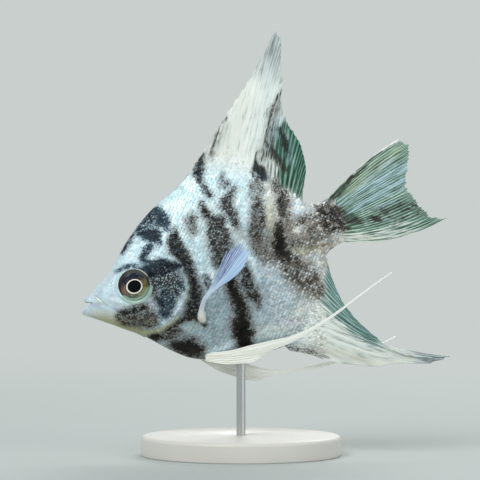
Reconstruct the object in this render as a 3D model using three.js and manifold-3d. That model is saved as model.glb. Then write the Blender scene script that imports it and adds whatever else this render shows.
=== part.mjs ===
// A young marble angelfish as a life-size display model: the fish hangs nose-down in a gentle dive
// over a round base, on one slim rod. Millimetres, +Z up; the origin is the middle of the base's underside.
// The fish is drawn in its own frame, with the snout near x = 0, the tail at +x and its left side at -y,
// and one group then tilts and lifts it.
import * as THREE from "three";
import { mergeVertices } from "three/addons/utils/BufferGeometryUtils.js";
import Module from "manifold-3d";

const wasm = await Module();
wasm.setup();

// ---- driving dimensions -------------------------------------------------------------------------
const BODY_LENGTH = 54; // snout to the end of the tail stalk
const DIVE_ANGLE = THREE.MathUtils.degToRad(20); // nose below tail
const FISH_PLACE = new THREE.Vector3(-31.8, 0, 29.4); // where the snout end of the body axis sits
const KERF = 0.3; // gap between two solids that meet
const MOUTH_REACH = 7; // how far back the slant of the mouth opening is felt
const MOUTH_DEPTH = 2.2;
const EYE = { x: 11.5, z: 0.6, y: 2.8, radius: 3.2, depth: 2.0 };
const GILL_COVER_INNER = 2.7; // distance of the gill covers' inner faces from the middle plane
const STAND = { radius: 20, height: 4, edge: 0.8, rodRadius: 0.9, rodIntoBelly: 2.0 };
const FIN_EDGE = 0.5; // thickness of the fins at their free edge
const FIN_ROOT = 0.9;

// ---- outline of the body, [distance from the snout, value] --------------------------------------
const topLine = curveThrough([
  [0.7, 0.4], [1.0, 1.1], [1.8, 1.75], [3.9, 2.8], [6.8, 4.3], [9.2, 6.2], [12.3, 9.0], [16.7, 12.1],
  [20.2, 14.0], [25.3, 15.9], [28.6, 17.3], [32.5, 17.0], [38, 14.9], [43, 11.3], [46.5, 7.3],
  [48.5, 5.0], [51, 3.8], [54, 3.8],
]);
const bottomLine = curveThrough([
  [-0.5, -0.7], [-0.3, -1.4], [0.9, -2.4], [2.6, -3.7], [5.9, -6.4], [9.3, -9.1], [10.8, -10.7],
  [13.7, -14.0], [16.9, -16.8], [19.6, -18.2], [24, -19.1], [28.5, -20.0], [34.5, -21.1],
  [37.5, -20.4], [40.7, -18.3], [44.9, -14.2], [47.6, -10.0], [49.4, -6.9], [51.7, -5.8], [54, -5.4],
]);
const widestHeight = curveThrough([
  [0, 0.0], [3, -0.5], [8, -1.0], [14, -2.0], [20, -2.8], [30, -3.0], [40, -2.6], [48, -1.2], [54, -0.8],
]);
const halfWidth = curveThrough([
  [0, 1.4], [1, 1.75], [3, 2.3], [6, 3.0], [9, 3.6], [12, 4.0], [17, 4.4], [22, 4.65], [28, 4.5],
  [35, 3.7], [42, 2.6], [48, 1.8], [52, 1.4], [54, 1.2],
]);
// The power of the cosine in a section: 1 is an ellipse, 2 a lens with sharp edges.
const backPower = curveThrough([[0, 1.0], [6, 1.1], [12, 1.25], [20, 1.45], [28, 1.75], [46, 1.7], [54, 1.1]]);
const bellyPower = curveThrough([[0, 1.0], [8, 0.95], [14, 1.0], [22, 1.15], [30, 1.35], [36, 1.7], [46, 1.7], [54, 1.1]]);

// ---- small helpers ------------------------------------------------------------------------------

// A smooth curve through [x, value] points that never overshoots them (monotone cubic pieces).
function curveThrough(points) {
  const n = points.length;
  const steps = points.slice(1).map((p, i) => p[0] - points[i][0]);
  const slopes = steps.map((h, i) => (points[i + 1][1] - points[i][1]) / h);
  const tangents = points.map((_, i) => {
    if (i === 0) return slopes[0];
    if (i === n - 1) return slopes[n - 2];
    const [before, after] = [slopes[i - 1], slopes[i]];
    if (before * after <= 0) return 0;
    const a = 2 * steps[i] + steps[i - 1];
    const b = steps[i] + 2 * steps[i - 1];
    return (a + b) / (a / before + b / after);
  });
  return (x) => {
    const at = THREE.MathUtils.clamp(x, points[0][0], points[n - 1][0]);
    let i = 0;
    while (i < n - 2 && at > points[i + 1][0]) i += 1;
    const h = steps[i];
    const t = (at - points[i][0]) / h;
    const [p, q] = [points[i][1], points[i + 1][1]];
    const [m, k] = [tangents[i] * h, tangents[i + 1] * h];
    return p + t * (m + t * (3 * (q - p) - 2 * m - k + t * (m + k - 2 * (q - p))));
  };
}

const span = (count, from = 0, to = 1) =>
  Array.from({ length: count + 1 }, (_, i) => from + ((to - from) * i) / count);

function solidOf(geometry) {
  const bare = geometry.clone();
  bare.deleteAttribute("normal");
  bare.deleteAttribute("uv");
  const merged = mergeVertices(bare, 1e-4);
  return new wasm.Manifold(
    new wasm.Mesh({
      numProp: 3,
      vertProperties: merged.attributes.position.array,
      triVerts: new Uint32Array(merged.index.array),
    }),
  );
}

function geometryOf(solid) {
  const mesh = solid.getMesh();
  const points = new Float32Array(mesh.numVert * 3);
  for (let i = 0; i < mesh.numVert; i += 1)
    points.set(mesh.vertProperties.subarray(i * mesh.numProp, i * mesh.numProp + 3), i * 3);
  const geometry = new THREE.BufferGeometry();
  geometry.setAttribute("position", new THREE.BufferAttribute(points, 3));
  geometry.setIndex(new THREE.BufferAttribute(mesh.triVerts, 1));
  geometry.computeVertexNormals();
  return geometry;
}

// Rings of points, joined in order and closed at both ends with a point in the middle of the ring.
function ringSolid(rings) {
  const around = rings[0].length;
  const points = rings.flat();
  const faces = [];
  for (let i = 0; i < rings.length - 1; i += 1)
    for (let j = 0; j < around; j += 1) {
      const [a, b] = [i * around + j, i * around + ((j + 1) % around)];
      faces.push(a, b, a + around, b, b + around, a + around);
    }
  for (const [first, turned] of [[0, true], [(rings.length - 1) * around, false]]) {
    const middle = new THREE.Vector3();
    for (let j = 0; j < around; j += 1) middle.addScaledVector(points[first + j], 1 / around);
    points.push(middle);
    for (let j = 0; j < around; j += 1) {
      const [a, b] = [first + j, first + ((j + 1) % around)];
      faces.push(...(turned ? [b, a] : [a, b]), points.length - 1);
    }
  }
  return outward(points, faces);
}

function outward(points, faces) {
  const geometry = new THREE.BufferGeometry().setFromPoints(points);
  geometry.setIndex(faces);
  const solid = solidOf(geometry);
  if (solid.volume() > 0) return solid;
  for (let i = 0; i < faces.length; i += 3) [faces[i], faces[i + 1]] = [faces[i + 1], faces[i]];
  geometry.setIndex(faces);
  return solidOf(geometry);
}

// A plate round the surface at(u, v), u and v from 0 to 1, whose thickness depends on v.
function plateSolid(at, thickness, across, along) {
  const wide = across + 1;
  const sides = [-0.5, 0.5].map((side) =>
    span(along).flatMap((v) =>
      span(across).map((u) => {
        const step = 1e-3;
        const du = at(Math.min(u + step, 1), v).sub(at(Math.max(u - step, 0), v));
        const dv = at(u, Math.min(v + step, 1)).sub(at(u, Math.max(v - step, 0)));
        return at(u, v).addScaledVector(du.cross(dv).normalize(), side * thickness(v));
      }),
    ),
  );
  const faces = [];
  const quad = (a, b, c, d) => faces.push(a, b, c, a, c, d);
  const other = wide * (along + 1);
  for (let i = 0; i < along; i += 1)
    for (let j = 0; j < across; j += 1) {
      const a = i * wide + j;
      quad(a, a + wide, a + wide + 1, a + 1);
      quad(other + a, other + a + 1, other + a + wide + 1, other + a + wide);
    }
  for (let j = 0; j < across; j += 1) {
    const a = along * wide + j;
    quad(j, j + 1, other + j + 1, other + j);
    quad(a, other + a, other + a + 1, a + 1);
  }
  for (let i = 0; i < along; i += 1) {
    const [a, b] = [i * wide, i * wide + across];
    quad(a, other + a, other + a + wide, a + wide);
    quad(b, b + wide, other + b + wide, other + b);
  }
  return outward(sides.flat(), faces);
}

// A flat outline in the side view, [x, z] points, carried right through the fish between two depths.
function sidePrism(outline, nearY = -12, farY = 12) {
  const shape = new THREE.Shape(outline.map(([x, z]) => new THREE.Vector2(x, z)));
  const geometry = new THREE.ExtrudeGeometry(shape, { depth: farY - nearY, bevelEnabled: false });
  geometry.rotateX(Math.PI / 2).translate(0, farY, 0);
  return solidOf(geometry);
}

// A thin cut along a smooth line in the side view.
function thinCut(line, nearY, farY, width = KERF) {
  const curve = new THREE.SplineCurve(line.map(([x, z]) => new THREE.Vector2(x, z)));
  const steps = span((line.length - 1) * 2);
  const edge = (side) =>
    steps.map((t) => {
      const tangent = curve.getTangent(t);
      const point = curve.getPoint(t);
      return [point.x - side * tangent.y * width * 0.5, point.y + side * tangent.x * width * 0.5];
    });
  return sidePrism([...edge(1), ...edge(-1).reverse()], nearY, farY);
}

// ---- body ---------------------------------------------------------------------------------------

// A point of the body's surface: u is the distance from the snout and angle goes round from the left
// side (0) over the back. Near the mouth the rings slant, so that the lower lip leads.
function bodyPoint(u, angle, grow) {
  const slant = Math.max(0, 1 - u / MOUTH_REACH) ** 2;
  const [c, s] = [Math.cos(angle), Math.sin(angle)];
  const sideX = u + 2.2 * slant;
  const edgeX = s > 0 ? u + 1.0 * slant : u - 0.3 * slant;
  const edgeZ = s > 0 ? topLine(edgeX) + grow : bottomLine(edgeX) - grow;
  const middle = widestHeight(u);
  const power = s > 0 ? backPower(u) : bellyPower(u);
  return new THREE.Vector3(
    sideX + (edgeX - sideX) * s * s,
    -Math.sign(c) * (halfWidth(u) + grow) * Math.abs(c) ** power,
    middle + (edgeZ - middle) * Math.abs(s),
  );
}

function bodySolid(grow = 0) {
  const angles = span(28, 0, 2 * Math.PI).slice(0, -1);
  const stations = [0, 0.4, 1.0, 2, 3.4, 5, 7, ...span(17, 9.4, 50), 52, BODY_LENGTH];
  const skin = stations.map((u) => angles.map((a) => bodyPoint(u, a, grow)));
  const lips = skin[0];
  const centre = new THREE.Vector3();
  lips.forEach((p) => centre.addScaledVector(p, 1 / lips.length));
  const shrunk = (share, back) =>
    lips.map((p) => p.clone().sub(centre).multiplyScalar(share).add(centre).add({ x: back, y: 0, z: 0 }));
  // The lips turn in to a short blind mouth; a grown body is only a cutter, so it stays plain there.
  const mouth = grow ? [] : [shrunk(0.45, MOUTH_DEPTH), shrunk(0.75, 0.5)];
  const tailEnd = skin.at(-1).map((p) =>
    new THREE.Vector3(p.x + 1.2 + grow, p.y * 0.3, p.z * 0.86 - 0.1));
  return ringSolid([...mouth, ...skin, tailEnd]);
}

const eyeSolid = (side, grow = 0) =>
  solidOf(
    new THREE.SphereGeometry(1, 18, 11)
      .scale(EYE.radius + grow, EYE.radius + grow, EYE.depth + grow)
      .rotateX(Math.PI / 2)
      .translate(EYE.x, side * EYE.y, EYE.z),
  );

// The free edge of the gill cover, from its upper corner to the throat.
const gillEdge = [
  [21.3, 3.6], [22.2, 1.0], [22.3, -2.1], [21.3, -4.9], [19.7, -6.9], [17.5, -8.5], [14.8, -9.5],
  [12.2, -9.9], [9.0, -9.6],
];
const headEnd = [[19.2, 15.5], [20.2, 11.5], [20.6, 7.5], ...gillEdge.slice(0, -1), [10.4, -10.4], [9.2, -11.2]];
const cheekEdge = [[21.3, 3.6], [18.0, 3.9], [15.6, 3.0], [15.4, 0.0], [15.0, -3.0], [13.6, -6.2], [10.8, -8.2], [9.0, -9.6]];
const upperJawEnd = [[2.6, 3.4], [3.6, 1.6], [4.6, -0.3], [4.9, -1.1], [4.0, -0.7], [2.6, -0.15], [1.2, -0.1], [-1, -0.1]];
const lowerJawEnd = [[-1, -0.1], [1.2, -0.1], [2.6, -0.15], [4.0, -0.7], [4.9, -1.1], [6.4, -3.6], [7.0, -8.4]];
const tailStalkStart = [[47.0, 9.0], [47.9, 4.0], [48.3, -2.0], [48.6, -9.5]];

function within(solid, outline, nearY, farY) {
  return solid.intersect(sidePrism(outline, nearY, farY));
}

function largest(solid) {
  return solid.decompose().sort((a, b) => b.volume() - a.volume())[0];
}

const smooth = (line) =>
  new THREE.SplineCurve(line.map(([x, z]) => new THREE.Vector2(x, z)))
    .getPoints((line.length - 1) * 2)
    .map((p) => [p.x, p.y]);

function bodyParts() {
  const whole = bodySolid();
  const cut = (solid, line) => solid.subtract(thinCut(line, -12, 12));
  const front = [...smooth(headEnd), [-3, -11.2], [-3, 15.5]];
  const tailward = [...smooth(tailStalkStart), [60, -9.5], [60, 9]];
  const headAndJaws = cut(within(whole, front), headEnd);
  const rest = cut(whole.subtract(sidePrism(front)), headEnd);
  const jawRegion = [...smooth(lowerJawEnd), [-3, -8.4], [-3, -0.1]];
  const lipRegion = [...smooth(upperJawEnd), [-3, -0.1], [-3, 3.4]];
  const bothJawCuts = (solid) => cut(cut(solid, upperJawEnd), lowerJawEnd);
  const skull = bothJawCuts(headAndJaws.subtract(sidePrism(jawRegion)).subtract(sidePrism(lipRegion)));
  const cover = [...smooth(cheekEdge), ...smooth(gillEdge).reverse().slice(1, -1)];
  const coverCuts = (solid, near, far) => solid.subtract(thinCut(cheekEdge, near, far));
  const parts = {
    upper_jaw: bothJawCuts(within(headAndJaws, lipRegion)),
    lower_jaw: bothJawCuts(within(headAndJaws, jawRegion)),
    trunk: cut(rest.subtract(sidePrism(tailward)), tailStalkStart),
    tail_stalk: cut(within(rest, tailward), tailStalkStart),
  };
  let head = skull;
  for (const [name, side] of [["left", -1], ["right", 1]]) {
    const [inner, outer] = [GILL_COVER_INNER * side, 12 * side];
    const [near, far] = side < 0 ? [outer, inner] : [inner, outer];
    const deeper = side * KERF;
    parts[`gill_cover_${name}`] = coverCuts(within(skull, cover, near, far), near, far);
    head = head.subtract(sidePrism(cover, Math.min(inner - deeper, outer), Math.max(inner - deeper, outer)));
    head = coverCuts(head, Math.min(inner - deeper, outer), Math.max(inner - deeper, outer));
    head = head.subtract(eyeSolid(side, KERF));
    parts[`eye_${name}`] = eyeSolid(side);
  }
  parts.head = head;
  return parts;
}

// ---- fins ---------------------------------------------------------------------------------------

// A fan of rays in the fish's middle plane: rays run from the root line to the tip line, and bow.
function medianFin({ root, tips, bow, sway, across, along }) {
  const [rootX, rootZ] = [0, 1].map((k) => curveThrough(root.map((p, i) => [i / (root.length - 1), p[k]])));
  const [tipX, tipZ] = [1, 2].map((k) => curveThrough(tips.map((p) => [p[0], p[k]])));
  const at = (u, v) => {
    const [x0, z0, x1, z1] = [rootX(u), rootZ(u), tipX(u), tipZ(u)];
    const lift = bow(u) * 4 * v * (1 - v);
    return new THREE.Vector3(x0 + (x1 - x0) * v, sway(u) * v * v, z0 + (z1 - z0) * v + lift);
  };
  const thickness = (v) => FIN_ROOT + (FIN_EDGE - FIN_ROOT) * Math.sqrt(v);
  return largest(plateSolid(at, thickness, across, along).subtract(bodySolid(KERF)));
}

// Root lines run just under the body's outline; each tip is [share along the root, x, z].
const DORSAL = {
  root: [[28.2, 16.0], [31, 15.8], [35, 15.0], [39, 12.9], [43, 9.8], [46, 6.6], [48.3, 3.6]],
  tips: [
    [0, 29.4, 18.0], [0.08, 33.0, 21.0], [0.16, 36.6, 23.4], [0.24, 39.6, 26.0], [0.31, 43.6, 29.0],
    [0.37, 46.9, 31.5], [0.42, 50.6, 34.6], [0.47, 55.5, 39.0], [0.53, 55.8, 36.4], [0.58, 54.2, 32.8],
    [0.63, 53.2, 28.9], [0.69, 51.5, 25.3], [0.76, 51.2, 21.4], [0.84, 52.3, 16.1], [0.91, 51.8, 11.6],
    [1, 48.9, 6.0],
  ],
  bow: (u) => 0.8 * Math.sin(Math.PI * u),
  sway: (u) => 1.2 * Math.sin(Math.PI * u),
  across: 30,
  along: 5,
};
const ANAL = {
  root: [[35.0, -20.0], [37.5, -19.4], [40.0, -17.6], [43.0, -14.6], [45.6, -11.0], [47.6, -7.6], [49.0, -5.6]],
  tips: [
    [0, 36.1, -22.2], [0.07, 39.6, -24.3], [0.14, 42.9, -26.9], [0.2, 46.5, -28.9], [0.25, 51.3, -31.0],
    [0.29, 56.5, -32.3], [0.33, 61.6, -34.0], [0.37, 65.9, -34.3], [0.42, 61.8, -33.1], [0.48, 57.9, -31.0],
    [0.55, 54.8, -28.1], [0.63, 52.7, -24.6], [0.72, 50.5, -20.3], [0.81, 49.3, -16.2], [0.9, 49.0, -12.0],
    [1, 49.4, -7.4],
  ],
  bow: (u) => -1.6 * Math.sin(Math.PI * u) ** 2,
  sway: (u) => -1.0 * Math.sin(Math.PI * u),
  across: 30,
  along: 5,
};
const TAIL = {
  root: [[52.8, -5.1], [53.4, -3.2], [53.8, -1.0], [53.6, 1.2], [53.0, 3.3]],
  tips: [
    [0, 74.9, -7.9], [0.06, 73.2, -7.6], [0.14, 71.9, -6.2], [0.24, 70.7, -4.2], [0.36, 69.8, -1.8],
    [0.5, 69.3, 0.8], [0.62, 70.3, 3.1], [0.74, 71.4, 5.2], [0.85, 72.3, 7.6], [0.94, 72.0, 9.3],
    [1, 71.0, 10.1],
  ],
  bow: (u) => -1.5 * (1 - u) ** 3 + 0.9 * u ** 3,
  sway: (u) => 1.4 * (u - 0.5),
  across: 22,
  along: 5,
};

// A paired fin: a curved fan between an upper and a lower ray, both smooth lines of [x, y, z].
function pairedFin(upperRay, lowerRay, side, across, along, thickness = () => FIN_EDGE) {
  const [a, b] = [upperRay, lowerRay].map(
    (line) => new THREE.CatmullRomCurve3(line.map(([x, y, z]) => new THREE.Vector3(x, side * y, z))));
  const at = (u, v) => a.getPoint(v).lerp(b.getPoint(v), u);
  return largest(plateSolid(at, thickness, across, along).subtract(bodySolid(KERF)));
}

const PECTORAL_UPPER = [[21.9, 4.9, -9.8], [22.6, 6.0, -7.4], [25.4, 6.6, -3.9], [28.8, 7.0, -1.0], [31.9, 7.2, 0.9]];
const PECTORAL_LOWER = [[21.7, 4.7, -11.0], [22.9, 7.0, -8.6], [26.2, 9.4, -6.0], [30.4, 11.2, -3.6], [34.6, 12.2, -1.2]];

// The pelvic fins are thin blades drawn out into one long ray; the right one hangs lower.
const PELVIC_LEFT_UPPER = [
  [20.2, 1.3, -16.9], [24.9, 2.4, -18.0], [29.0, 2.9, -18.4], [33.1, 3.2, -18.9], [37.8, 3.5, -19.4],
  [43.9, 3.9, -18.8], [50.8, 4.3, -16.9], [55.6, 4.6, -15.4], [60.3, 5.0, -14.1],
];
const PELVIC_LEFT_LOWER = [
  [19.7, 1.0, -18.3], [23.1, 2.0, -20.2], [27.6, 2.6, -21.5], [31.0, 2.9, -21.7], [37.2, 3.4, -20.8],
  [44.1, 3.9, -19.4], [50.9, 4.3, -17.4], [55.8, 4.6, -15.9], [60.5, 5.0, -14.6],
];
const PELVIC_RIGHT_UPPER = [
  [20.0, 1.2, -17.6], [26.0, 2.5, -21.1], [30.2, 2.9, -24.0], [33.8, 3.2, -25.6], [38.8, 3.5, -26.7],
  [44.3, 3.8, -27.3], [49.0, 4.0, -27.4], [53.6, 4.2, -27.2], [57.2, 4.4, -26.8],
];
const PELVIC_RIGHT_LOWER = [
  [18.8, 1.0, -18.0], [21.6, 1.9, -21.4], [26.6, 2.5, -25.2], [31.0, 3.0, -26.2], [37.4, 3.5, -27.3],
  [43.3, 3.8, -27.9], [49.0, 4.0, -28.0], [53.8, 4.2, -27.8], [57.3, 4.4, -27.4],
];

// ---- stand --------------------------------------------------------------------------------------
function standBase() {
  const { radius, height, edge } = STAND;
  const profile = [
    [0, 0], [radius, 0], [radius, height - edge], [radius - edge * 0.3, height - edge * 0.3],
    [radius - edge, height], [0, height],
  ];
  const socket = new THREE.CylinderGeometry(STAND.rodRadius + KERF, STAND.rodRadius + KERF, height, 20)
    .rotateX(Math.PI / 2)
    .translate(0, 0, height / 2 + 1.5);
  const disc = new THREE.LatheGeometry(profile.map(([r, z]) => new THREE.Vector2(r, z)), 48).rotateX(Math.PI / 2);
  return solidOf(disc).subtract(solidOf(socket));
}

function standRod(topZ) {
  const bottomZ = 1.5 + KERF;
  return new THREE.CylinderGeometry(STAND.rodRadius, STAND.rodRadius, topZ - bottomZ, 20)
    .rotateX(Math.PI / 2)
    .translate(0, 0, (topZ + bottomZ) / 2);
}

// ---- assembly -----------------------------------------------------------------------------------
const finish = (colour, roughness, metalness = 0) =>
  new THREE.MeshStandardMaterial({ color: colour, roughness, metalness });
const skin = finish("#b9c2c4", 0.4, 0.2);
const fin = finish("#c3cabd", 0.5);
const paleFin = finish("#ece9dc", 0.5);

const model = new THREE.Group();
const fish = new THREE.Group();
fish.position.copy(FISH_PLACE);
fish.rotation.y = -DIVE_ANGLE;
model.add(fish);
fish.updateMatrixWorld(true);

function add(parent, name, solid, material) {
  const mesh = new THREE.Mesh(solid.isBufferGeometry ? solid : geometryOf(solid), material);
  mesh.name = name;
  parent.add(mesh);
}

const parts = bodyParts();

// The height at which the rod meets the belly, found where its axis enters the body.
const toFish = fish.matrixWorld.clone().invert();
const bellyHeight = (() => {
  const inside = (z) => {
    const p = new THREE.Vector3(0, 0, z).applyMatrix4(toFish);
    return p.z > bottomLine(p.x);
  };
  let z = STAND.height;
  while (!inside(z)) z += 0.05;
  return z;
})();
const rod = standRod(bellyHeight + STAND.rodIntoBelly);
const rodHole = new THREE.CylinderGeometry(STAND.rodRadius + KERF, STAND.rodRadius + KERF, 12, 20)
  .rotateX(Math.PI / 2)
  .translate(0, 0, bellyHeight + STAND.rodIntoBelly + KERF - 6)
  .applyMatrix4(toFish);
parts.trunk = parts.trunk.subtract(solidOf(rodHole));

for (const [name, solid] of Object.entries(parts))
  add(fish, name, largest(solid), name.startsWith("eye") ? finish("#2b2722", 0.15) : skin);
add(fish, "dorsal_fin", medianFin(DORSAL), fin);
add(fish, "anal_fin", medianFin(ANAL), fin);
add(fish, "tail_fin", medianFin(TAIL), fin);
for (const [name, side] of [["left", -1], ["right", 1]])
  add(fish, `pectoral_fin_${name}`, pairedFin(PECTORAL_UPPER, PECTORAL_LOWER, side, 6, 8), fin);
add(fish, "pelvic_fin_left", pairedFin(PELVIC_LEFT_UPPER, PELVIC_LEFT_LOWER, -1, 2, 24), paleFin);
add(fish, "pelvic_fin_right", pairedFin(PELVIC_RIGHT_UPPER, PELVIC_RIGHT_LOWER, 1, 2, 24), paleFin);
add(model, "stand_base", standBase(), finish("#d9d6cf", 0.45));
add(model, "stand_rod", rod, finish("#b8bbbd", 0.3, 1));

export default model;
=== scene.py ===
"""A young marble angelfish diving gently over a plain display stand.

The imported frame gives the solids. This script lays one skin over the flesh, overlapping scales over the
skin, rayed fins, wet eyes and a cast base with a steel rod. Shapes are worked out with numpy in the fish's
own frame, in millimetres: the snout near x = 0, the tail at +x, the left side at -y. to_model() tilts them
into place.
"""

import bpy
import numpy as np
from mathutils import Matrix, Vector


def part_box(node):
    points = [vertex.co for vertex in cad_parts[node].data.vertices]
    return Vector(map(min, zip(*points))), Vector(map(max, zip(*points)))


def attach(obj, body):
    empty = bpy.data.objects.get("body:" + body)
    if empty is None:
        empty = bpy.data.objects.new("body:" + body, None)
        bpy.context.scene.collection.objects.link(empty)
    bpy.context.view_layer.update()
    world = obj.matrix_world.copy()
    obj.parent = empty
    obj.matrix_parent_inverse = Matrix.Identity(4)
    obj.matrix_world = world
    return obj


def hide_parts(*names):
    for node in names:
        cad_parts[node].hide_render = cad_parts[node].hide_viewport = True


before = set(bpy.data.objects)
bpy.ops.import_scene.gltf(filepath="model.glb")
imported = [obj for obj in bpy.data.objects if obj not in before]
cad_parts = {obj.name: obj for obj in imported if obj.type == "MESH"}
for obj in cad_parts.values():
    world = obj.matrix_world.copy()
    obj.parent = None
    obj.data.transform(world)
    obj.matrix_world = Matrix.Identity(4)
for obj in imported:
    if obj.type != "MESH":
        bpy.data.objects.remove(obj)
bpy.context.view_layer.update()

# ---- driving dimensions, mm -------------------------------------------------------------------------
MM = 0.001
DIVE_ANGLE = np.radians(20)
FISH_PLACE = np.array([-31.8, 0.0, 29.4])
TAIL_END = 54.0
SKIN_DEPTH = 0.10  # the skin lies this far inside the solids, which leaves the room for the scales
SCALE_LIFT = 0.10  # free rear edge of a flank scale above the skin
MOUTH_REACH = 7.0
ORBIT = np.array([11.55, 0.68])  # middle of the eye socket in the side view
ORBIT_RADIUS = 3.05
EYE_RADIUS = 3.25
EYE_STAND = 3.1  # middle of each eye ball to the side of the fish's middle plane
STAND_RADIUS, STAND_HEIGHT, STAND_EDGE, STAND_FOOT = 20.0, 4.0, 0.8, 0.3
ROD_RADIUS, ROD_FOOT = 0.9, 1.8
MOUTH_END = -2.6  # ring at the blind end of the mouth
# Spacing of the scales along the body and across it, by place.
FLANK_STEP, FLANK_ROW = 0.92, 0.47
COVER_STEP, COVER_ROW = 0.62, 0.34
FIN_STEP, FIN_ROW = 0.64, 0.36
PATCH = 0.003  # one scale's patch in the coat's UV map, as a share of the map


# ---- small helpers ----------------------------------------------------------------------------------
def smooth_step(low, high, value):
    """0 up to low, 1 from high on, and an S-shaped rise between."""
    t = np.clip((value - low) / (high - low), 0, 1)
    return t * t * (3 - 2 * t)


def mix(a, b, share):
    """Straight blend from a to b."""
    return a + (b - a) * share


def bump(distance, width):
    """Bell curve: 1 at no distance, falling to 0.37 at the width."""
    return np.exp(-((distance / width) ** 2))


def unit(vectors):
    """The same directions with a length of 1."""
    return vectors / np.maximum(np.linalg.norm(vectors, axis=-1, keepdims=True), 1e-9)


def curve_through(points):
    """A smooth line through [x, value] points that never overshoots them: monotone cubic pieces."""
    x, y = np.array(points, float).T
    step = np.diff(x)
    slope = np.diff(y) / step
    before, after = slope[:-1], slope[1:]
    rising = before * after > 0
    a, b = 2 * step[1:] + step[:-1], step[1:] + 2 * step[:-1]
    mean = (a + b) / (a / np.where(rising, before, 1) + b / np.where(rising, after, 1))
    tangent = np.concatenate([slope[:1], np.where(rising, mean, 0), slope[-1:]])

    def value(at):
        at = np.clip(at, x[0], x[-1])
        i = np.clip(np.searchsorted(x, at, side="right") - 1, 0, len(step) - 1)
        h = step[i]
        t = (at - x[i]) / h
        rise, m, k = y[i + 1] - y[i], tangent[i] * h, tangent[i + 1] * h
        return y[i] + t * (m + t * (3 * rise - 2 * m - k + t * (m + k - 2 * rise)))

    return value


def line_through(points):
    """A smooth line through points of any dimension, at a share 0..1 of its stretches: cubic pieces whose
    direction at each point is that from the point before to the point after."""
    p = np.array(points, float)
    p = np.vstack([2 * p[0] - p[1], p, 2 * p[-1] - p[-2]])
    stretches = len(p) - 3

    def at(share):
        s = np.clip(share, 0, 1) * stretches
        i = np.minimum(s.astype(int), stretches - 1)
        t = (s - i)[..., None]
        a, b, c, d = p[i], p[i + 1], p[i + 2], p[i + 3]
        bend, twist = 2 * a - 5 * b + 4 * c - d, 3 * b - a - 3 * c + d
        return 0.5 * (2 * b + (c - a) * t + bend * t**2 + twist * t**3)

    return at


def random_field(points, cell, seed):
    """Smooth random values from -1 to 1: one for each corner of a lattice of cubes, blended inside a cube."""
    q = points / cell
    base = np.floor(q).astype(np.int64)
    f = q - base
    f = f * f * (3 - 2 * f)
    total = np.zeros(q.shape[:-1])
    for corner in np.ndindex(2, 2, 2):
        n = (base + corner) * (73856093, 19349663, 83492791)
        h = (n[..., 0] ^ n[..., 1] ^ n[..., 2] ^ (seed * 2654435761)) & 0xFFFFFFFF
        h = ((h ^ (h >> 15)) * 2246822519) & 0xFFFFFFFF
        h = ((h ^ (h >> 13)) * 3266489917) & 0xFFFFFFFF
        share = np.where(corner, f, 1 - f).prod(-1)
        total += share * ((h ^ (h >> 16)) / 0xFFFFFFFF * 2 - 1)
    return total


def path_distance(x, z, path):
    """Distance in the side view to a chain of [x, z, ...] points, the chain's other values at the nearest
    place, and +1 where the place is on the chain's left hand, -1 on its right."""
    path = np.array(path, float)
    best = np.full(x.shape, 1e9)
    side = np.ones(x.shape)
    extra = np.zeros((*x.shape, path.shape[1] - 2))
    for a, b in zip(path[:-1], path[1:]):
        d = b[:2] - a[:2]
        t = np.clip(((x - a[0]) * d[0] + (z - a[1]) * d[1]) / (d @ d), 0, 1)
        dx, dz = x - a[0] - t * d[0], z - a[1] - t * d[1]
        distance = np.hypot(dx, dz)
        nearer = distance < best
        best = np.where(nearer, distance, best)
        side = np.where(nearer, np.sign(d[0] * dz - d[1] * dx), side)
        extra = np.where(nearer[..., None], a[2:] + t[..., None] * (b[2:] - a[2:]), extra)
    return best, extra, side


def to_model(points):
    """Turns points of the fish's frame by the dive angle, lifts them over the stand and makes them metres."""
    x, y, z = np.moveaxis(points, -1, 0)
    c, s = np.cos(DIVE_ANGLE), np.sin(DIVE_ANGLE)
    return (np.stack([x * c - z * s, y, x * s + z * c], -1) + FISH_PLACE) * MM


def inside_out(points, quads):
    """True where the faces of a closed shape point inwards, which makes its volume negative."""
    a, b, c, d = (points[quads[:, k]] for k in range(4))
    return (np.cross(a - c, b - d) * (a + b + c + d)).sum() < 0


def grid_faces(rows, columns):
    """Quads between the neighbours of a grid whose points run row by row."""
    a = (np.arange(rows - 1)[:, None] * columns + np.arange(columns - 1)[None]).ravel()
    return np.stack([a, a + columns, a + columns + 1, a + 1], -1)


def ring_faces(rings, around):
    """Quads between neighbouring rings of a tube whose points run ring by ring, and triangles that close its
    first and last ring on the two points that follow them."""
    rows = np.arange(rings - 1)[:, None] * around
    j = np.arange(around)
    k = (j + 1) % around
    quads = np.stack([rows + j, rows + around + j, rows + around + k, rows + k], -1).reshape(-1, 4)
    last = (rings - 1) * around
    start, end = np.full(around, rings * around), np.full(around, rings * around + 1)
    return quads, np.concatenate([np.stack([j, k, start], -1), np.stack([last + k, last + j, end], -1)])


def repeated(faces, count, size):
    """One shape's faces for each of many copies of it, whose points follow one another."""
    return (faces[None] + (np.arange(count) * size)[:, None, None]).reshape(-1, 4)


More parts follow.
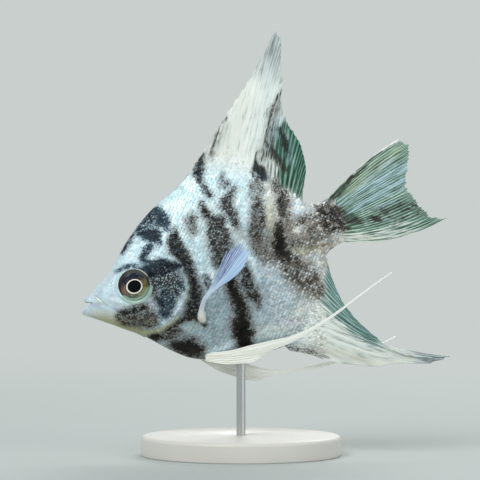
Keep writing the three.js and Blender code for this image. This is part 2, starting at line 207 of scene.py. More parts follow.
def piece(name, points, faces, material, replaced=(), values=None, patches=None):
    """Makes one finished piece from whole arrays: points in metres, faces as arrays of quads and triangles,
    named values at each point, and the coat's patches as a UV map."""
    mesh = bpy.data.meshes.new(name)
    corners = np.concatenate([f.ravel() for f in faces]).astype(np.int32)
    sizes = np.concatenate([np.full(len(f), f.shape[1]) for f in faces])
    mesh.vertices.add(len(points))
    mesh.vertices.foreach_set("co", points.astype(np.float32).ravel())
    mesh.loops.add(len(corners))
    mesh.loops.foreach_set("vertex_index", corners)
    mesh.polygons.add(len(sizes))
    mesh.polygons.foreach_set("loop_start", (np.cumsum(sizes) - sizes).astype(np.int32))
    for key, value in (values or {}).items():
        kind = "FLOAT_VECTOR" if value.ndim == 2 else "FLOAT"
        layer = mesh.attributes.new(key, kind, "POINT")
        layer.data.foreach_set("vector" if value.ndim == 2 else "value", value.astype(np.float32).ravel())
    if patches is not None:
        layer = mesh.uv_layers.new(name="OFBake")
        layer.uv.foreach_set("vector", patches[corners].astype(np.float32).ravel())
    mesh.update(calc_edges=True)
    mesh.shade_smooth()
    mesh.materials.append(material)
    made = bpy.data.objects.new(name, mesh)
    bpy.context.scene.collection.objects.link(made)
    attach(made, "root")
    if replaced:
        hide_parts(*replaced)


# ---- camera, floor and light ------------------------------------------------------------------------
BACKDROP = "#c9cfcd"
FLOOR_COLOUR = "#b9bfbd"
MIDDLE = (0.0, 0.0, 0.045)  # where the lamps point, in metres


def linear(code):
    """sRGB hex turned to the linear values that a colour socket takes."""
    channel = np.array([int(code[i : i + 2], 16) for i in (1, 3, 5)]) / 255
    value = np.where(channel <= 0.04045, channel / 12.92, ((channel + 0.055) / 1.055) ** 2.4)
    return (*value.tolist(), 1.0)


def add(tree, kind, inputs=None, out=0, **settings):
    """Adds one node with its own settings, fills its sockets with values or links, and returns one output."""
    made = tree.nodes.new("ShaderNode" + kind)
    for key, value in settings.items():
        setattr(made, key, value)
    for key, value in (inputs or {}).items():
        if isinstance(value, bpy.types.NodeSocket):
            tree.links.new(value, made.inputs[key])
        else:
            made.inputs[key].default_value = value
    return made.outputs[out]


# Settings that many nodes share: a product of two values, and an S-shaped rise in place of a straight one.
TIMES = {"operation": "MULTIPLY"}
EASED = {"interpolation_type": "SMOOTHSTEP"}


def new_material(name):
    """An empty node material and its tree."""
    material = bpy.data.materials.new(name)
    material.use_nodes = True
    material.node_tree.nodes.clear()
    return material, material.node_tree


def finish_with(tree, shader):
    """Sends a shader to the material's surface."""
    end = tree.nodes.new("ShaderNodeOutputMaterial")
    tree.links.new(shader, end.inputs["Surface"])


def seen_directly(tree):
    """1 for rays that see the backdrop, straight or by a mirror or glass; 0 for those that gather light."""
    straight, mirrored, through = (add(tree, "LightPath", out=out)
                                   for out in ("Is Camera Ray", "Is Glossy Ray", "Is Transmission Ray"))
    seen = add(tree, "Math", {0: straight, 1: mirrored}, operation="MAXIMUM")
    return add(tree, "Math", {0: seen, 1: through}, operation="MAXIMUM")


def set_up_camera():
    """Level camera that looks along +Y at the fish's left side, 96 mm of scene across its view."""
    camera = bpy.data.cameras.new("camera")
    camera.lens, camera.sensor_width = 180, 36
    camera.clip_start = 0.01
    made = bpy.data.objects.new("camera", camera)
    made.location = (-0.0002, -0.48, 0.043)
    made.rotation_euler = (np.pi / 2, 0, 0)
    bpy.context.scene.collection.objects.link(made)
    bpy.context.scene.camera = made


def set_up_floor():
    """Wide plain floor whose colour runs into the backdrop's with distance, so that no horizon shows."""
    material, tree = new_material("matt_painted_floor")
    place = add(tree, "TexCoord", out="Object")
    distance = add(tree, "VectorMath", {0: place}, out="Value", operation="LENGTH")
    far = add(tree, "MapRange", {0: distance, 1: 0.06, 2: 0.5}, **EASED)
    grain = add(tree, "TexNoise", {"Vector": place, "Scale": 900.0, "Detail": 2.0})
    rough = add(tree, "MapRange", {0: grain, 3: 0.7, 4: 0.85})
    painted = add(tree, "BsdfPrincipled",
                  {"Base Color": linear(FLOOR_COLOUR), "Roughness": rough, "Specular IOR Level": 0.2})
    glow = add(tree, "Emission", {"Color": linear(BACKDROP), "Strength": 1.0})
    share = add(tree, "Math", {0: far, 1: seen_directly(tree)}, **TIMES)
    finish_with(tree, add(tree, "MixShader", {0: share, 1: painted, 2: glow}))
    reach = 4.0
    mesh = bpy.data.meshes.new("floor")
    corners = [(-reach, -reach, 0), (reach, -reach, 0), (reach, reach, 0), (-reach, reach, 0)]
    mesh.from_pydata(corners, [], [(0, 1, 2, 3)])
    mesh.materials.append(material)
    floor = bpy.data.objects.new("floor", mesh)
    bpy.context.scene.collection.objects.link(floor)


def set_up_light():
    """One large soft lamp above the fish's face, a weak one from behind its tail, and an even pale room."""
    for name, place, size, power in (
        ("key", (-0.30, -0.42, 0.55), 0.42, 2.9),
        ("fill", (0.50, -0.35, 0.22), 0.45, 1.0),
        ("rim", (0.12, 0.50, 0.42), 0.35, 1.6),
    ):
        lamp = bpy.data.lights.new(name, "AREA")
        lamp.size, lamp.energy = size, power
        made = bpy.data.objects.new(name, lamp)
        made.location = place
        x, y, z = np.array(MIDDLE) - place
        made.rotation_euler = (np.arctan2(np.hypot(x, y), -z), 0, np.arctan2(-x, y))
        bpy.context.scene.collection.objects.link(made)
    world = bpy.data.worlds.new("room")
    bpy.context.scene.world = world
    world.use_nodes = True
    tree = world.node_tree
    tree.nodes.clear()
    colour = add(tree, "Mix", {0: seen_directly(tree), 6: linear("#aeb4b4"), 7: linear(BACKDROP)}, out=2,
                 data_type="RGBA")
    end = tree.nodes.new("ShaderNodeOutputWorld")
    tree.links.new(add(tree, "Background", {"Color": colour, "Strength": 1.0}), end.inputs["Surface"])


# ---- the body's surface -----------------------------------------------------------------------------
back_line = curve_through(
    [(0.7, 0.4), (1.0, 1.1), (1.8, 1.75), (3.9, 2.8), (6.8, 4.3), (9.2, 6.2), (12.3, 9.0), (16.7, 12.1),
     (20.2, 14.0), (25.3, 15.9), (28.6, 17.3), (32.5, 17.0), (38, 14.9), (43, 11.3), (46.5, 7.3), (48.5, 5.0),
     (51, 3.8), (54, 3.8)])
belly_line = curve_through(
    [(-0.5, -0.7), (-0.3, -1.4), (0.9, -2.4), (2.6, -3.7), (5.9, -6.4), (9.3, -9.1), (10.8, -10.7),
     (13.7, -14.0), (16.9, -16.8), (19.6, -18.2), (24, -19.1), (28.5, -20.0), (34.5, -21.1), (37.5, -20.4),
     (40.7, -18.3), (44.9, -14.2), (47.6, -10.0), (49.4, -6.9), (51.7, -5.8), (54, -5.4)])
widest_height = curve_through(
    [(0, 0), (3, -0.5), (8, -1), (14, -2), (20, -2.8), (30, -3), (40, -2.6), (48, -1.2), (54, -0.8)])
half_width = curve_through(
    [(0, 1.4), (1, 1.75), (3, 2.3), (6, 3.0), (9, 3.6), (12, 4.0), (17, 4.4), (22, 4.65), (28, 4.5),
     (35, 3.7), (42, 2.6), (48, 1.8), (52, 1.4), (54, 1.2)])
back_power = curve_through([(0, 1), (6, 1.1), (12, 1.25), (20, 1.45), (28, 1.75), (46, 1.7), (54, 1.1)])
belly_power = curve_through(
    [(0, 1), (8, 0.95), (14, 1), (22, 1.15), (30, 1.35), (36, 1.7), (46, 1.7), (54, 1.1)])

# The lips roll into a short blind mouth. Each row is [ring, x, z] of the upper lip, of the lower lip, and
# [ring, x, z, half-width] of the corner, from inside the mouth outwards.
UPPER_LIP = np.array(
    [(MOUTH_END, 3.2, 0.35), (-1.8, 2.2, 0.45), (-1.0, 1.35, 0.58), (-0.5, 0.98, 0.82), (0, 0.82, 1.15),
     (0.4, 0.98, 1.52), (0.9, 1.42, 1.8), (1.5, 2.0, 1.86), (2.1, 2.6, 2.05), (3.6, 3.9, 2.85),
     (5, 5.2, 3.55), (6.8, 6.8, 4.3), (8, 8, 5.15)])
LOWER_LIP = np.array(
    [(MOUTH_END, 3.2, 0.1), (-1.8, 2.2, 0.05), (-1.0, 1.2, 0.0), (-0.5, 0.45, -0.1), (0, -0.15, -0.42),
     (0.4, -0.38, -0.95), (0.9, -0.12, -1.5), (1.5, 0.45, -1.98), (2.1, 1.1, -2.47), (3.6, 2.7, -3.75),
     (5, 4.8, -5.45), (6.8, 6.8, -7.1), (8, 8, -8.07)])
LIP_CORNER = np.array(
    [(MOUTH_END, 3.3, 0.2, 0.7), (-1.8, 2.9, 0.2, 1.0), (-1.0, 2.5, 0.2, 1.25), (-0.5, 2.25, 0.2, 1.38),
     (0, 2.15, 0.2, 1.5), (0.4, 2.36, 0.15, 1.6), (0.9, 2.57, 0.05, 1.72), (1.5, 2.86, -0.1, 1.88),
     (2.1, 3.18, -0.25, 2.03), (3.6, 4.12, -0.6, 2.43), (5, 5.18, -0.75, 2.78), (6.8, 6.8, -0.9, 3.17),
     (8, 8, -1.0, 3.42)])
upper_lip_x, upper_lip_z = (curve_through(UPPER_LIP[:, [0, k]]) for k in (1, 2))
lower_lip_x, lower_lip_z = (curve_through(LOWER_LIP[:, [0, k]]) for k in (1, 2))
corner_x, corner_z, corner_y = (curve_through(LIP_CORNER[:, [0, k]]) for k in (1, 2, 3))


def body_surface(u, angle):
    """Point of the bare body on the ring u mm from the snout, at an angle round from the left side over the
    back. Powers of the angle's sine and cosine join the ring's widest point to its back or belly line. Near
    the snout the rings are the lips' own, which slant so that the lower lip leads."""
    s, c = np.sin(angle), np.cos(angle)
    up = s >= 0
    lips = 1 - smooth_step(4.5, 6.5, u)
    slant = np.clip(1 - u / MOUTH_REACH, 0, 1) ** 2
    edge_x = np.where(up, u + slant, u - 0.3 * slant)
    edge_z = np.where(up, back_line(edge_x), belly_line(edge_x))
    edge_x = mix(edge_x, np.where(up, upper_lip_x(u), lower_lip_x(u)), lips)
    edge_z = mix(edge_z, np.where(up, upper_lip_z(u), lower_lip_z(u)), lips)
    side_x = mix(u + 2.2 * slant, corner_x(u), lips)
    side_z = mix(widest_height(u), corner_z(u), lips)
    side_y = mix(half_width(u), corner_y(u), lips)
    power = np.where(up, back_power(u), belly_power(u))
    curl = mix(1.0, 1.7, 1 - smooth_step(0, 5, u))
    return np.stack([
        side_x + (edge_x - side_x) * s * s,
        -np.sign(c) * side_y * np.abs(c) ** power,
        side_z + (edge_z - side_z) * np.abs(s) ** curl], -1)


def body_normal(u, angle):
    """Outward direction of the bare body: across two short steps, one along it and one round it."""
    along = body_surface(u + 0.04, angle) - body_surface(u - 0.04, angle)
    around = body_surface(u, angle + 0.012) - body_surface(u, angle - 0.012)
    return unit(np.cross(along, around))


# Lines of the head in the side view.
GILL_EDGE = line_through([(21.3, 3.6), (22.2, 1.0), (22.3, -2.1), (21.3, -4.9), (19.7, -6.9), (17.5, -8.5),
                          (14.8, -9.5), (12.2, -9.9), (9.0, -9.6)])(np.linspace(0, 1, 33))
PREOPERCLE = line_through([(16.3, 1.6), (16.3, -0.8), (15.6, -3.0), (14.6, -5.1), (12.9, -7.4),
                           (10.9, -8.5)])(np.linspace(0, 1, 21))
UNDER_EYE = [(6.2, -0.6), (7.6, -1.5), (9.4, -2.75), (11.6, -3.5), (13.6, -3.1)]
MAXILLA = [(2.9, 1.75), (3.5, 1.1), (4.1, 0.35), (4.6, -0.7)]
JAW_LINE = [(2.3, 0.1), (3.6, -0.5), (4.9, -1.2), (6.2, -2.7), (7.6, -4.6), (9.2, -6.4)]
NOSTRIL = (7.2, 2.55)


def relief(x, z):
    """Height of the head's bones and folds over the bare body: bell-shaped ridges and grooves along its
    lines, a step at the gill cover's free edge, and the eye sockets."""
    orbit = np.hypot(x - ORBIT[0], z - ORBIT[1])
    socket = -1.5 * smooth_step(ORBIT_RADIUS + 0.12, ORBIT_RADIUS - 0.3, orbit)
    lids = 0.13 * bump(orbit - 3.42, 0.26) - 0.05 * bump(orbit - 4.0, 0.3)
    gap, _, side = path_distance(x, z, GILL_EDGE)
    inside = gap * -side  # the line runs down the cover with the head on its right
    cover = 0.34 * smooth_step(-0.12, 0.16, inside) * np.exp(-np.clip(inside, 0, 9) / 3.5)
    behind_cover = -0.16 * bump(inside + 0.34, 0.3)
    fold = -0.05 * bump(inside - 1.5, 0.3)
    ridge, _, ahead = path_distance(x, z, PREOPERCLE)
    cheek = 0.15 * bump(ridge, 0.34) - 0.09 * bump(ridge * -ahead - 0.75, 0.4)
    under, maxilla, jaw = (path_distance(x, z, line)[0] for line in (UNDER_EYE, MAXILLA, JAW_LINE))
    nostril = np.hypot(x - NOSTRIL[0], z - NOSTRIL[1])
    face = (0.10 * bump(under, 0.35) - 0.05 * bump(under - 0.8, 0.3) - 0.13 * bump(maxilla, 0.17)
            - 0.09 * bump(jaw, 0.22) - 0.18 * bump(nostril, 0.14) + 0.03 * bump(nostril - 0.3, 0.12))
    return socket + lids + cover + behind_cover + fold + cheek + face


# ---- markings ---------------------------------------------------------------------------------------
# Each dark mark: how solid it is, how many silver flecks show in it, how slate-blue it is, how soft its edge
# is in mm, and its brush stroke in the side view as [x, z, half-width].
MARKS = {
    "nape_rim": (0.6, 0.5, 1.0, 0.7, [
        (15.4, 10.8, 0.3), (16.8, 11.7, 0.6), (18.5, 12.5, 0.9), (20.3, 13.3, 0.9)]),
    "nape_upper": (1.0, 0.25, 1.0, 0.7, [
        (20.6, 13.2, 0.9), (21.0, 12.0, 1.3), (21.4, 10.6, 1.1), (21.4, 9.4, 0.7), (21.5, 8.6, 0.3)]),
    "nape_mid": (0.55, 0.7, 1.0, 0.8, [
        (16.0, 10.7, 0.9), (17.8, 11.3, 1.1), (19.6, 11.2, 1.1), (20.3, 10.2, 0.6)]),
    "nape_heart": (1.1, 0.2, 1.0, 0.7, [
        (16.2, 10.0, 0.8), (17.4, 9.3, 1.5), (18.5, 8.6, 1.5), (18.8, 7.7, 1.0), (19.0, 6.9, 0.4)]),
    "nape_front": (0.6, 0.3, 0.8, 0.6, [
        (11.3, 7.7, 0.2), (12.4, 8.5, 0.35), (13.5, 9.4, 0.4), (14.6, 10.3, 0.3)]),
    "nape_drop": (0.6, 0.4, 1.0, 0.7, [
        (17.1, 7.0, 0.7), (16.0, 6.5, 0.7), (15.3, 5.6, 0.7), (15.3, 4.6, 0.6), (15.8, 3.9, 0.6)]),
    "shoulder": (0.75, 0.5, 0.2, 0.7, [
        (22.8, 8.4, 0.3), (22.3, 7.3, 1.0), (21.9, 6.0, 1.5), (22.1, 4.6, 1.4), (22.5, 3.2, 1.1),
        (22.8, 1.6, 0.9), (22.9, 0.0, 0.9), (23.0, -2.0, 0.9), (22.8, -4.0, 1.0), (22.2, -5.6, 1.2),
        (21.2, -7.2, 1.4), (21.0, -8.6, 1.1), (21.0, -9.8, 0.5)]),
    "shoulder_core": (0.95, 0.15, 0.1, 0.7, [
        (22.8, 3.2, 0.4), (23.0, 1.5, 0.6), (23.1, -0.5, 0.65), (23.1, -2.8, 0.7), (22.6, -4.8, 0.8),
        (21.8, -6.4, 0.8), (21.2, -8.2, 0.7)]),
    "behind_eye": (1.0, 0.3, 0.7, 0.6, [
        (14.6, 2.3, 1.4), (16.2, 2.3, 1.8), (17.8, 2.1, 1.9), (19.4, 1.8, 1.5), (20.7, 1.5, 0.9),
        (21.8, 1.2, 0.4)]),
    "gill_cover": (0.6, 1.1, 0.6, 0.8, [(16.4, -0.6, 1.3), (18.6, -0.8, 2.3), (19.1, -2.1, 1.9)]),
    "gill_cover_low": (0.75, 0.6, 0.9, 0.8, [(16.8, -3.4, 1.5), (16.3, -4.6, 1.8), (15.8, -6.0, 1.3)]),
    "cheek_back": (0.3, 0.7, 0.4, 0.7, [
        (15.2, 0.8, 0.5), (15.3, -0.6, 0.6), (15.0, -2.2, 0.5), (15.0, -3.8, 0.4)]),
    "cheek": (0.2, 0.7, -0.3, 0.9, [
        (6.9, -4.4, 0.9), (8.6, -5.0, 1.6), (10.6, -5.7, 2.1), (12.0, -6.4, 1.7), (12.3, -7.5, 0.9)]),
    "cheek_top": (0.75, 0.35, 0.0, 0.7, [
        (6.9, -3.7, 0.5), (8.4, -3.9, 0.7), (10.2, -3.9, 0.7), (12.0, -4.1, 0.6)]),
    "cheek_foot": (0.35, 0.5, -0.2, 0.7, [
        (7.0, -5.4, 0.5), (9.0, -6.6, 0.3), (11.2, -7.7, 0.5), (12.2, -8.1, 0.3)]),
    "brow": (0.2, 0.3, 1.0, 0.45, [
        (9.0, 4.5, 0.2), (10.4, 4.75, 0.3), (12.0, 4.6, 0.3), (13.3, 4.1, 0.25), (14.6, 3.1, 0.4)]),
    # Painted shade in the gap between the lips near the mouth's corner.
    "painted_lip_gap_shade": (0.1, 0.0, 0.0, 0.2, [(1.4, 0.6, 0.04), (1.8, 0.42, 0.12), (2.15, 0.3, 0.04)]),
    "throat": (1.2, 0.1, 0.0, 0.5, [(10.7, -10.1, 0.4), (11.9, -10.6, 0.8), (13.1, -10.8, 0.6)]),
    "throat_mottle": (0.25, 0.7, -0.3, 0.6, [(13.8, -10.7, 0.7), (15.0, -11.1, 0.9), (16.4, -11.2, 0.8)]),
    "throat_seam": (0.5, 0.5, 0.0, 0.6, [
        (14.6, -10.2, 0.4), (16.6, -9.8, 0.4), (18.6, -8.9, 0.4), (20.0, -8.6, 1.1)]),
    "breast": (1.2, 0.1, -0.1, 1.1, [
        (14.9, -12.7, 0.8), (16.0, -13.8, 1.7), (17.6, -15.0, 2.1), (18.9, -16.0, 1.3)]),
    "dorsal_origin": (0.85, 0.4, 0.4, 0.8, [
        (33.7, 21.0, 0.3), (32.6, 20.0, 0.7), (31.7, 18.8, 0.9), (31.2, 17.4, 1.0), (31.1, 16.2, 0.6),
        (31.2, 15.0, 0.4), (31.4, 13.7, 0.5), (31.8, 12.4, 0.5)]),
    "upper_spot": (0.65, 0.5, 0.1, 0.9, [(29.6, 11.4, 0.5), (29.6, 10.2, 0.9), (29.8, 8.8, 0.9)]),
    "second_bar": (0.45, 0.6, 0.1, 1.0, [
        (32.3, 7.0, 0.9), (31.1, 6.6, 1.8), (31.0, 5.2, 2.0), (30.6, 3.6, 2.0), (30.3, 2.0, 2.1),
        (29.6, 0.4, 1.5), (28.9, -0.9, 0.9)]),
    "second_bar_core": (0.75, 0.5, 0.0, 0.8, [
        (32.2, 6.8, 0.5), (31.7, 5.2, 0.4), (31.4, 2.6, 0.6), (29.3, 1.6, 0.7), (28.9, -0.4, 0.5)]),
    "grey_spot": (0.1, 0.6, -0.3, 1.2, [(26.6, 9.2, 0.7), (26.0, 8.3, 0.8), (26.3, 6.8, 0.4)]),
    "specks": (-0.1, 0.6, 0.4, 0.8, [
        (35.6, 15.3, 0.3), (35.0, 14.5, 0.4), (34.8, 13.6, 0.5), (35.7, 13.2, 0.5)]),
    "third_bar": (0.45, 0.5, 0.1, 1.0, [
        (36.5, 12.0, 0.4), (35.4, 11.0, 0.8), (34.2, 9.8, 1.2), (34.2, 8.4, 1.2), (34.6, 7.0, 0.9),
        (34.8, 5.8, 0.6), (34.9, 4.6, 0.4)]),
    "fourth_bar_top": (1.9, 0.05, 0.6, 0.7, [
        (42.7, 15.2, 0.6), (42.6, 14.2, 1.1), (42.9, 13.2, 1.2), (43.4, 12.0, 0.8)]),
    "fourth_bar_mottle": (-0.1, 0.6, -0.3, 1.0, [(41.9, 11.6, 0.7), (40.9, 10.5, 1.2), (40.4, 9.0, 0.9)]),
    "fourth_bar": (0.2, 0.5, -0.3, 1.1, [
        (40.3, 8.0, 0.7), (39.8, 6.4, 0.8), (39.0, 4.6, 1.2), (38.3, 3.0, 1.4), (37.8, 1.8, 1.2)]),
    "fourth_bar_foot": (-0.15, 0.4, -0.4, 1.2, [(37.8, 0.6, 1.3), (38.0, -1.2, 1.3), (38.5, -3.2, 0.9)]),
    "fifth_bar": (0.6, 0.45, 0.0, 1.0, [
        (44.9, 10.6, 0.5), (45.2, 8.9, 0.8), (45.3, 7.4, 1.0), (44.9, 6.1, 1.1), (44.4, 4.8, 0.9),
        (44.4, 3.5, 0.8)]),
    "fifth_bar_heart": (1.2, 0.1, 0.0, 1.0, [
        (42.6, 2.0, 0.9), (42.1, 0.8, 1.3), (41.8, -1.0, 1.7), (41.4, -2.8, 1.8), (41.7, -4.4, 1.3)]),
    "fifth_bar_low": (0.2, 0.5, -0.4, 1.4, [
        (42.0, -5.6, 1.5), (42.6, -7.2, 1.9), (43.6, -8.9, 2.1), (44.8, -10.6, 1.5), (45.7, -12.3, 0.8),
        (46.0, -13.6, 0.4)]),
    "stalk_end": (1.3, 0.05, 0.1, 1.2, [
        (53.4, 2.7, 0.5), (53.0, 1.8, 0.8), (53.3, 1.0, 0.9), (53.5, 0.0, 1.0), (53.7, -1.1, 0.9),
        (54.8, -2.0, 0.5)]),
    "stalk_front": (1.5, 0.1, 0.0, 1.0, [
        (51.2, 2.4, 0.6), (51.8, 1.2, 0.9), (51.4, -0.2, 0.8), (51.6, -1.4, 0.7)]),
    "stalk_low": (0.6, 0.3, 0.1, 0.7, [
        (51.4, -1.8, 0.5), (52.1, -2.3, 0.5), (54.6, -2.6, 0.6), (55.6, -3.0, 0.5)]),
    "stalk_speckle": (-0.15, 0.4, -0.2, 0.8, [
        (44.6, 1.4, 0.9), (46.6, 1.8, 0.5), (48.4, 1.4, 1.1), (49.6, 0.4, 1.0)]),
    "stalk_mottle": (-0.1, 0.5, -0.4, 1.0, [(48.2, -1.4, 0.7), (49.2, -2.2, 0.8), (51.0, -2.6, 0.5)]),
    "stalk_front_mottle": (-0.1, 0.5, -0.4, 0.9, [(44.4, -2.0, 0.8), (46.2, -2.8, 0.9), (47.8, -3.4, 0.7)]),
    "flank_bar": (1.25, 0.05, -0.1, 1.0, [
        (29.7, -4.0, 1.2), (29.9, -6.5, 1.35), (29.9, -9.5, 1.3), (29.6, -12.0, 1.45), (28.9, -14.0, 1.9),
        (28.4, -15.8, 2.1), (28.3, -17.3, 1.7), (28.5, -18.4, 1.0)]),
    "flank_bar_twin": (0.5, 0.5, 0.1, 0.9, [
        (33.5, -3.2, 0.6), (33.2, -5.0, 0.8), (32.8, -7.0, 1.0), (33.0, -8.8, 1.1), (33.5, -10.1, 0.9),
        (33.1, -11.6, 0.3)]),
    "small_streak": (0.15, 0.4, 0.5, 0.6, [(25.2, -2.5, 0.4), (25.4, -3.7, 0.5), (25.2, -4.7, 0.3)]),
    "fin_root_spot": (0.6, 0.2, 0.0, 0.5, [(21.9, -11.0, 0.3), (22.0, -11.6, 0.35)]),
    "belly_keel": (-0.3, 0.5, -0.6, 1.5, [
        (33.8, -21.4, 0.1), (36.5, -22.3, 0.25), (38.8, -23.7, 0.3), (40.8, -25.3, 0.3),
        (42.2, -26.7, 0.2)]),
    "dorsal_stripe": (0.0, 0.4, 0.3, 1.2, [
        (52.3, 26.8, 0.4), (50.6, 25.4, 0.4), (49.0, 23.7, 0.4), (47.8, 21.8, 0.5), (46.9, 20.0, 0.6),
        (45.9, 18.4, 0.6), (44.8, 17.0, 0.8), (43.6, 15.8, 0.7)]),
    "dorsal_stripe_low": (0.3, 0.4, 0.0, 0.8, [
        (47.2, 19.0, 0.2), (46.5, 17.2, 0.5), (46.7, 15.4, 0.7), (47.3, 13.8, 0.8), (47.7, 12.2, 0.6)]),
    "dorsal_spot": (1.1, 0.1, 0.4, 0.6, [(49.4, 19.9, 0.4), (49.4, 17.6, 0.6), (49.7, 15.2, 0.45)]),
    "spine_specks": (0.3, 0.2, 0.0, 0.6, [
        (38.3, 24.6, 0.2), (37.4, 23.2, 0.3), (36.2, 21.8, 0.25), (34.8, 20.3, 0.15)]),
    "spine_steps": (0.3, 0.3, 0.4, 0.5, [(39.8, 26.0, 0.3), (39.0, 25.2, 0.15)]),
    "tail_low": (-0.3, 0.4, -0.6, 1.2, [(58.0, -2.2, 0.8), (64.0, -3.4, 1.5), (70.0, -4.2, 1.6)]),
    "tail_dark": (0.35, 0.4, -0.6, 0.9, [(63.6, -2.7, 0.4), (66.3, -2.6, 0.5), (69.2, -2.8, 0.4)]),
    "tail_dark_spot": (0.5, 0.4, -0.6, 0.6, [(66.8, -3.4, 0.3), (68.0, -3.5, 0.3)]),
    "tail_low_dark": (0.3, 0.4, -0.6, 0.9, [(60.4, -2.6, 0.4), (61.3, -3.6, 0.5), (63.0, -4.6, 0.4)]),
    "tail_root": (0.3, 0.3, 0.0, 1.0, [
        (54.8, 1.2, 0.6), (55.2, -0.2, 1.0), (56.6, -1.6, 1.0), (58.4, -2.8, 0.5)]),
    "tail_top": (0.3, 0.3, 0.1, 0.6, [
        (54.6, 3.4, 0.6), (57.0, 4.7, 0.5), (59.0, 5.7, 0.45), (61.0, 6.7, 0.35), (63.2, 7.6, 0.15)]),
}
